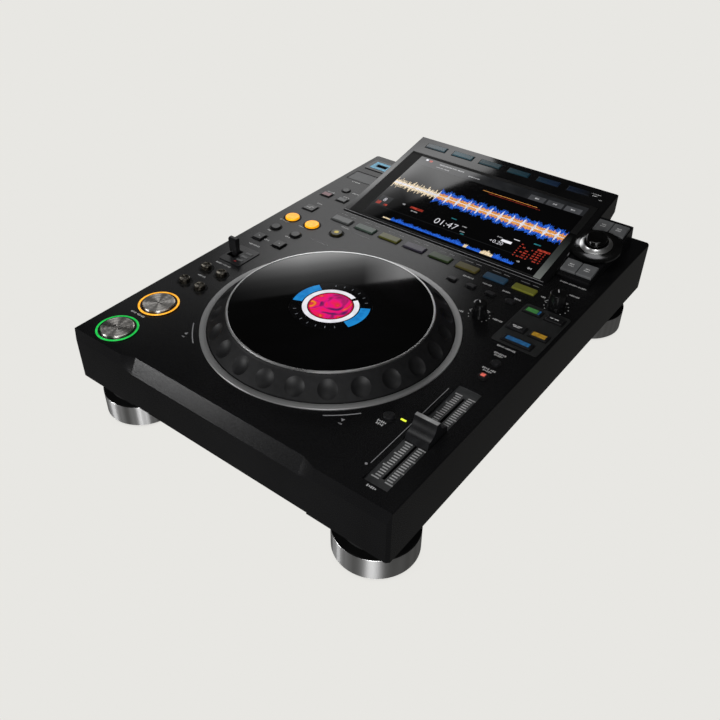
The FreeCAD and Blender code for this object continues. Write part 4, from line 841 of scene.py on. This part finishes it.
tiles = {  # name: material and tiles of x, v, width, length
    "pictureBars": ("pixelBar", [(4.9, 109.3, 197.0, 14.0), (4.9, 22.0, 197.0, 0.4),
                                 (-84.0, 31.0, 14.0, 16.0)]),
    "pictureTabs": ("pixelTab", [(52.0, 106.5, 17.0, 8.0), (71.5, 106.5, 17.0, 8.0),
                                 (91.0, 106.5, 17.0, 8.0)]),
    "pictureWhite": ("pixelWhite", [(58.4, 34.2, 11.0, 3.4), (-84.0, 113.0, 3.0, 2.6),
                                    (66.0, 41.0, 6.0, 0.8)]),
    "pictureRed": ("pixelRed", [(-46.0, 35.4, 15.0, 3.0), (-79.0, 112.4, 3.6, 3.2), (96.0, 38.0, 13.0, 2.6),
                              (74.0, 38.0, 2.0, 1.2), (-88.0, 27.0, 5.0, 5.0), (-79.0, 26.0, 4.0, 3.0)]),
    "pictureTeal": ("pixelTeal", [(-4.0, 40.0, 6.0, 1.2), (86.0, 44.0, 7.0, 1.6), (15.0, 23.6, 4.0, 1.2)]),
    "pictureOrange": ("pixelOrange", [(28.0, 94.0, 62.0, 0.45)]),
    "pictureRedLine": ("pixelRed", [(34.0, 91.6, 58.0, 0.4)]),
}
for name, (pixel, spots) in tiles.items():
    mesh = bmesh.new()
    addBars(mesh, screen, spots, 0, picture["layer"] * (1 if name == "pictureBars" else 2))
    finishPicture(name, mesh, pixel)

readings = [  # x, v, strokes in each group, height
    (-52.0, 111.6, (6, 8, 5, 7), 1.8), (-60.0, 106.4, (8, 6), 1.3), (-22.0, 108.0, (7, 5), 1.6),
    (52.0, 106.6, (4,), 2.2), (71.5, 106.6, (4,), 2.2), (91.0, 106.6, (4,), 2.2), (-62.0, 36.0, (3,), 2.4),
    (-46.0, 30.6, (7,), 1.4), (14.0, 26.6, (5,), 1.6), (12.0, 34.0, (5,), 1.2), (50.0, 37.0, (5,), 1.4),
    (82.0, 14.6, (3,), 2.0), (96.0, 11.0, (4,), 2.2),
]
mesh = bmesh.new()
for x, y, words, height in readings:
    addStrokes(mesh, screen, x, y, words, height=height, base=picture["layer"] * 2)
finishPicture("pictureStrokes", mesh, "pixelSoft")
redGrid = {"x": 73.0, "v": 34.4, "rows": 5, "columns": 7, "across": 4.3, "down": 3.4, "least": 1.4,
           "length": 1.5}
mesh = bmesh.new()  # small grid of red figures at the right
for row in range(redGrid["rows"]):
    for column in range(redGrid["columns"]):
        if ripple(row * 1.3, column * 1.7, 3.0) > -0.25:
            x = redGrid["x"] + column * redGrid["across"]
            y = redGrid["v"] - row * redGrid["down"]
            addBar(mesh, screen, x, y, redGrid["least"] + (row * 3 + column) % 3, redGrid["length"], 0,
                   picture["layer"])
finishPicture("pictureRedGrid", mesh, "pixelRed")


def sheenStrip():
    # margin of the glass with a painted sheen: pale grey at its front end, fading to black at its rear end
    material, tree, shader, place = startMaterial("paintedSheenGlass", Roughness=0.16, IOR=1.5)
    split = addNode(tree, "ShaderNodeSeparateXYZ", {}, {"Vector": place})
    along = addNode(tree, "ShaderNodeMapRange", {"From Min": 80 * mm, "From Max": 150 * mm},
                    {"Value": split.outputs["Y"]})
    addShades(tree, shader, along.outputs["Result"], [(0.0, "#8a8e8a"), (0.45, "#4c504e"), (1.0, "#060607")])
    return material


# margins round the picture, in screen millimetres: x, v, width, length; the black ones are printed, the pale
# one carries a painted sheen
glassEdges = {"paintedSheen": [(107.3, 38.0, 7.2, 71.0)],
              "black": [(-100.7, 61.7, 14.0, 118.0), (1.5, 118.6, 218.0, 4.2), (107.3, 95.4, 7.2, 42.0),
                        (-2.2, 3.3, 211.0, 1.8)]}
finishes["paintedSheenGlass"] = sheenStrip()
for name, edges, finish in (("screenSheenStrip", glassEdges["paintedSheen"], "paintedSheenGlass"),
                            ("screenBorder", glassEdges["black"], "paintedShadeAndBorderBlack")):
    mesh = bmesh.new()
    addBars(mesh, screen, edges, 0, picture["layer"])
    finishPicture(name, mesh, finish)


def addDigits(name, words, size, x, y, pixel):
    # plain time figures as thin lit shapes
    curve = bpy.data.curves.new(name, "FONT")
    curve.body = words
    curve.size = size
    curve.extrude = picture["layer"] / 2
    curve.offset = -0.014 * size  # thins the strokes
    curve.align_x = "CENTER"
    curve.align_y = "CENTER"
    carrier = bpy.data.objects.new(name + "Curve", curve)
    bpy.context.scene.collection.objects.link(carrier)
    data = bpy.data.meshes.new_from_object(carrier.evaluated_get(bpy.context.evaluated_depsgraph_get()))
    bpy.data.objects.remove(carrier)
    data.transform(screen @ Matrix.Translation((x, y, picture["layer"] * 2)))
    mesh = bmesh.new()
    mesh.from_mesh(data)
    bpy.data.meshes.remove(data)
    finishPicture(name, mesh, pixel)


addDigits("timeDigits", "01:47", 12.0, -7.0, 29.0, "pixelWhite")
addDigits("tempoDigits", "+0.20", 6.5, 50.0, 29.0, "pixelWhite")
addDigits("barDigits", "8", 8.0, -84.0, 33.0, "pixelWhite")
print("screen picture done")


# Marks on the menu strip and on the selector keys

mesh = bmesh.new()
for x, y, words, height in ((99.5, 139.4, (4, 5), 1.2), (99.5, 136.4, (5,), 1.2), (107.0, 132.4, (3,), 1.0)):
    addStrokes(mesh, screen, x, y, words, height)
finishPiece("menuLegends", mesh, "whitePrintedInk")
selectorPrint = {"x": (126.5, 141.9), "v": (33.4, 98.6), "keyTop": 0.5}
mesh = bmesh.new()
for x in selectorPrint["x"]:
    for y in selectorPrint["v"]:
        addStrokes(mesh, screen, x, y + 1.2, (4,), 1.3, base=selectorPrint["keyTop"])
        addStrokes(mesh, screen, x, y - 1.4, (5,), 1.1, base=selectorPrint["keyTop"])
finishPiece("selectorLegends", mesh, "whitePrintedInk", "selector_keys")


# Printing beside the rear sockets

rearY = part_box("rear_panel")[1].y
rear = (Matrix.Translation((0, rearY, 0)) @ Matrix.Rotation(math.radians(90), 4, "X")
        @ Matrix.Diagonal((mm, mm, -mm, 1)))
rearPrint = {"z": 76.4, "height": 1.6}
mesh = bmesh.new()
for x, words in ((118.0, (4,)), (80.0, (5,)), (-18.0, (7,)), (-40.0, (5,)), (-62.0, (5,)), (-104.0, (4,))):
    addStrokes(mesh, rear, x, rearPrint["z"], words, rearPrint["height"])
finishPiece("rearLegends", mesh, "whitePrintedInk")
print("small printing done")


# Painted shadow: flat black rings on top of the foot cups, standing for the shadow of the neck under the case

footShadeRing = {"x": (-130.0, 130.0), "y": (-192.0, 171.0), "z": 22.8, "inner": 27.2, "outer": 33.95, "thick": 1.1}
mesh = bmesh.new()
for x in footShadeRing["x"]:
    for y in footShadeRing["y"]:
        addRing(mesh, scaleToMm, x, y, flatProfile(footShadeRing["inner"], footShadeRing["outer"], footShadeRing["z"],
                                                   footShadeRing["z"] + footShadeRing["thick"]), steps=64)
finishPiece("footNeckShade", mesh, "paintedShadeAndBorderBlack")


# Stage: pale floor, soft studio light, camera

paper = "#e8e7e3"
studio = {"floor": 5.0, "floorSheen": 0.09, "roomLight": 0.025}


def paleFloor():
    material = bpy.data.materials.new("paleFloor")
    material.use_nodes = True
    tree = material.node_tree
    tree.nodes.clear()
    ray = addNode(tree, "ShaderNodeLightPath")
    seen = addNode(tree, "ShaderNodeMapRange", {"To Min": studio["floorSheen"], "To Max": 1.0},
                   {"Value": ray.outputs["Is Camera Ray"]})
    near = addNode(tree, "ShaderNodeAmbientOcclusion", {"Distance": 0.02, "samples": 8})
    shade = addNode(tree, "ShaderNodeValToRGB", {"stops": [(0.0, "#d9d8d4"), (0.6, paper)]},
                    {"Fac": near.outputs["AO"]})
    glow = addNode(tree, "ShaderNodeEmission", {},
                   {"Color": shade.outputs["Color"], "Strength": seen.outputs[0]})
    addNode(tree, "ShaderNodeOutputMaterial", {}, {"Surface": glow.outputs["Emission"]})
    return material


def softPanel(name, look):
    # an upright light panel that fades towards its top
    material = bpy.data.materials.new(name)
    material.use_nodes = True
    tree = material.node_tree
    tree.nodes.clear()
    place = addNode(tree, "ShaderNodeTexCoord").outputs["Object"]
    split = addNode(tree, "ShaderNodeSeparateXYZ", {}, {"Vector": place})
    rise = addNode(tree, "ShaderNodeMapRange", {"From Min": look["foot"] * mm, "From Max": look["top"] * mm},
                   {"Value": split.outputs["Z"]}).outputs["Result"]
    frontEnd = addNode(tree, "ShaderNodeValToRGB", {"stops": look["frontFade"]}, {"Fac": rise})
    rearEnd = addNode(tree, "ShaderNodeValToRGB", {"stops": look["rearFade"]}, {"Fac": rise})
    toRear = addNode(tree, "ShaderNodeMapRange",
                     {"From Min": look["turnsAt"] * mm, "From Max": look["rearAt"] * mm},
                     {"Value": split.outputs["Y"]})
    blend = addNode(tree, "ShaderNodeMixRGB", {}, {0: toRear.outputs["Result"], 1: frontEnd.outputs["Color"],
                    2: rearEnd.outputs["Color"]})
    along = addNode(tree, "ShaderNodeMapRange",
                    {"From Min": look["darkAt"] * mm, "From Max": look["fullAt"] * mm,
                     "To Min": look["endShare"] * look["bright"], "To Max": look["bright"]},
                    {"Value": split.outputs["Y"]})
    glow = addNode(tree, "ShaderNodeEmission", {}, {"Color": blend.outputs["Color"],
                   "Strength": along.outputs["Result"]})
    addNode(tree, "ShaderNodeOutputMaterial", {}, {"Surface": glow.outputs["Emission"]})
    mesh = bmesh.new()
    middle = (look["top"] + look["foot"]) / 2
    turn = Matrix.Rotation(math.radians(look["turn"]), 4, "Z") @ Matrix.Rotation(math.radians(90), 4, "X")
    bmesh.ops.create_grid(mesh, x_segments=1, y_segments=1, size=0.5, matrix=Matrix.Translation(
        Vector((*look["centre"], middle)) * mm) @ turn
        @ Matrix.Diagonal((look["width"] * mm, (look["top"] - look["foot"]) * mm, 1, 1)))
    data = bpy.data.meshes.new(name)
    mesh.to_mesh(data)
    mesh.free()
    data.materials.append(material)
    board = bpy.data.objects.new(name, data)
    bpy.context.scene.collection.objects.link(board)
    board.visible_camera = False


def addLight(name, look):
    data = bpy.data.lights.new(name, "AREA")
    data.shape = "RECTANGLE"
    data.size, data.size_y = look["width"] * mm, look["length"] * mm
    data.energy = look["power"]
    light = bpy.data.objects.new(name, data)
    light.location = Vector(look["place"]) * mm
    aim = Vector(look["aim"]) * mm - light.location
    light.rotation_mode = "QUATERNION"
    light.rotation_quaternion = aim.to_track_quat("-Z", "Y")
    bpy.context.scene.collection.objects.link(light)
    light.visible_camera = False


mesh = bmesh.new()
bmesh.ops.create_grid(mesh, x_segments=1, y_segments=1, size=studio["floor"])
floorData = bpy.data.meshes.new("paleFloor")
mesh.to_mesh(floorData)
mesh.free()
floorData.materials.append(paleFloor())
floor = bpy.data.objects.new("paleFloor", floorData)
bpy.context.scene.collection.objects.link(floor)

# the panel stands behind and left of the player; its upper edge draws the slanted line across the glossy faces
frontFade = [(0.0, "#999999"), (0.66, "#a3a3a3"), (0.8, "#ffffff"), (0.87, "#9e9e9e"), (0.915, "#666666"),
             (0.96, "#454545"), (1.0, "#383838")]
rearFade = [(0.0, "#999999"), (0.66, "#a3a3a3"), (0.8, "#cdcdcd"), (1.0, "#c0c0c0")]
softPanel("rearPanelLight", {
    "centre": (-356.1, 239.7), "width": 550.0, "foot": 60.0, "top": 415.0, "turn": 51.7, "bright": 4.2,
    "frontFade": frontFade, "rearFade": rearFade, "turnsAt": 338.0, "rearAt": 385.0, "darkAt": 160.0,
    "fullAt": 262.0, "endShare": 0.15})
softLights = {
    "topSoftbox": {"place": (60, -120, 1100), "aim": (0, 0, 60), "width": 700, "length": 700, "power": 2.8},
    "frontFill": {"place": (620, -1060, 380), "aim": (0, 0, 30), "width": 420, "length": 420, "power": 9.8},
    "sideFill": {"place": (-860, -1080, 350), "aim": (0, 0, 30), "width": 400, "length": 300, "power": 8.0},
}
for name, look in softLights.items():
    addLight(name, look)

world = bpy.data.worlds.new("paleRoom")
bpy.context.scene.world = world
world.use_nodes = True
world.node_tree.nodes.clear()
ray = addNode(world.node_tree, "ShaderNodeLightPath")
seen = addNode(world.node_tree, "ShaderNodeMapRange", {"To Min": studio["roomLight"], "To Max": 1.0},
               {"Value": ray.outputs["Is Camera Ray"]})
room = addNode(world.node_tree, "ShaderNodeBackground", {"Color": hexColour(paper)},
               {"Strength": seen.outputs[0]})
addNode(world.node_tree, "ShaderNodeOutputWorld", {}, {"Surface": room.outputs["Background"]})
bpy.context.scene.view_settings.view_transform = "Standard"

camera = {"yaw": -0.6752, "pitch": 0.6544, "roll": -0.0070, "place": (354.05, -514.43, 490.67), "lens": 40.44,
          "sensor": 36.0, "shiftX": 0.02918, "shiftY": -0.02326}


def makeCamera(look):
    flat = math.cos(look["pitch"])
    forward = Vector((math.sin(look["yaw"]) * flat, math.cos(look["yaw"]) * flat, -math.sin(look["pitch"])))
    level = forward.cross(Vector((0, 0, 1))).normalized()
    upright = level.cross(forward)
    right = level * math.cos(look["roll"]) + upright * math.sin(look["roll"])
    up = -level * math.sin(look["roll"]) + upright * math.cos(look["roll"])
    data = bpy.data.cameras.new("photoCamera")
    data.sensor_width, data.lens = look["sensor"], look["lens"]
    data.shift_x, data.shift_y = look["shiftX"], look["shiftY"]
    data.clip_start, data.clip_end = 0.01, 50
    photoCamera = bpy.data.objects.new("photoCamera", data)
    bpy.context.scene.collection.objects.link(photoCamera)
    turn = Matrix((right, up, -forward)).transposed().to_4x4()
    photoCamera.matrix_world = Matrix.Translation(Vector(look["place"]) * mm) @ turn
    bpy.context.scene.camera = photoCamera


makeCamera(camera)
print("stage set")
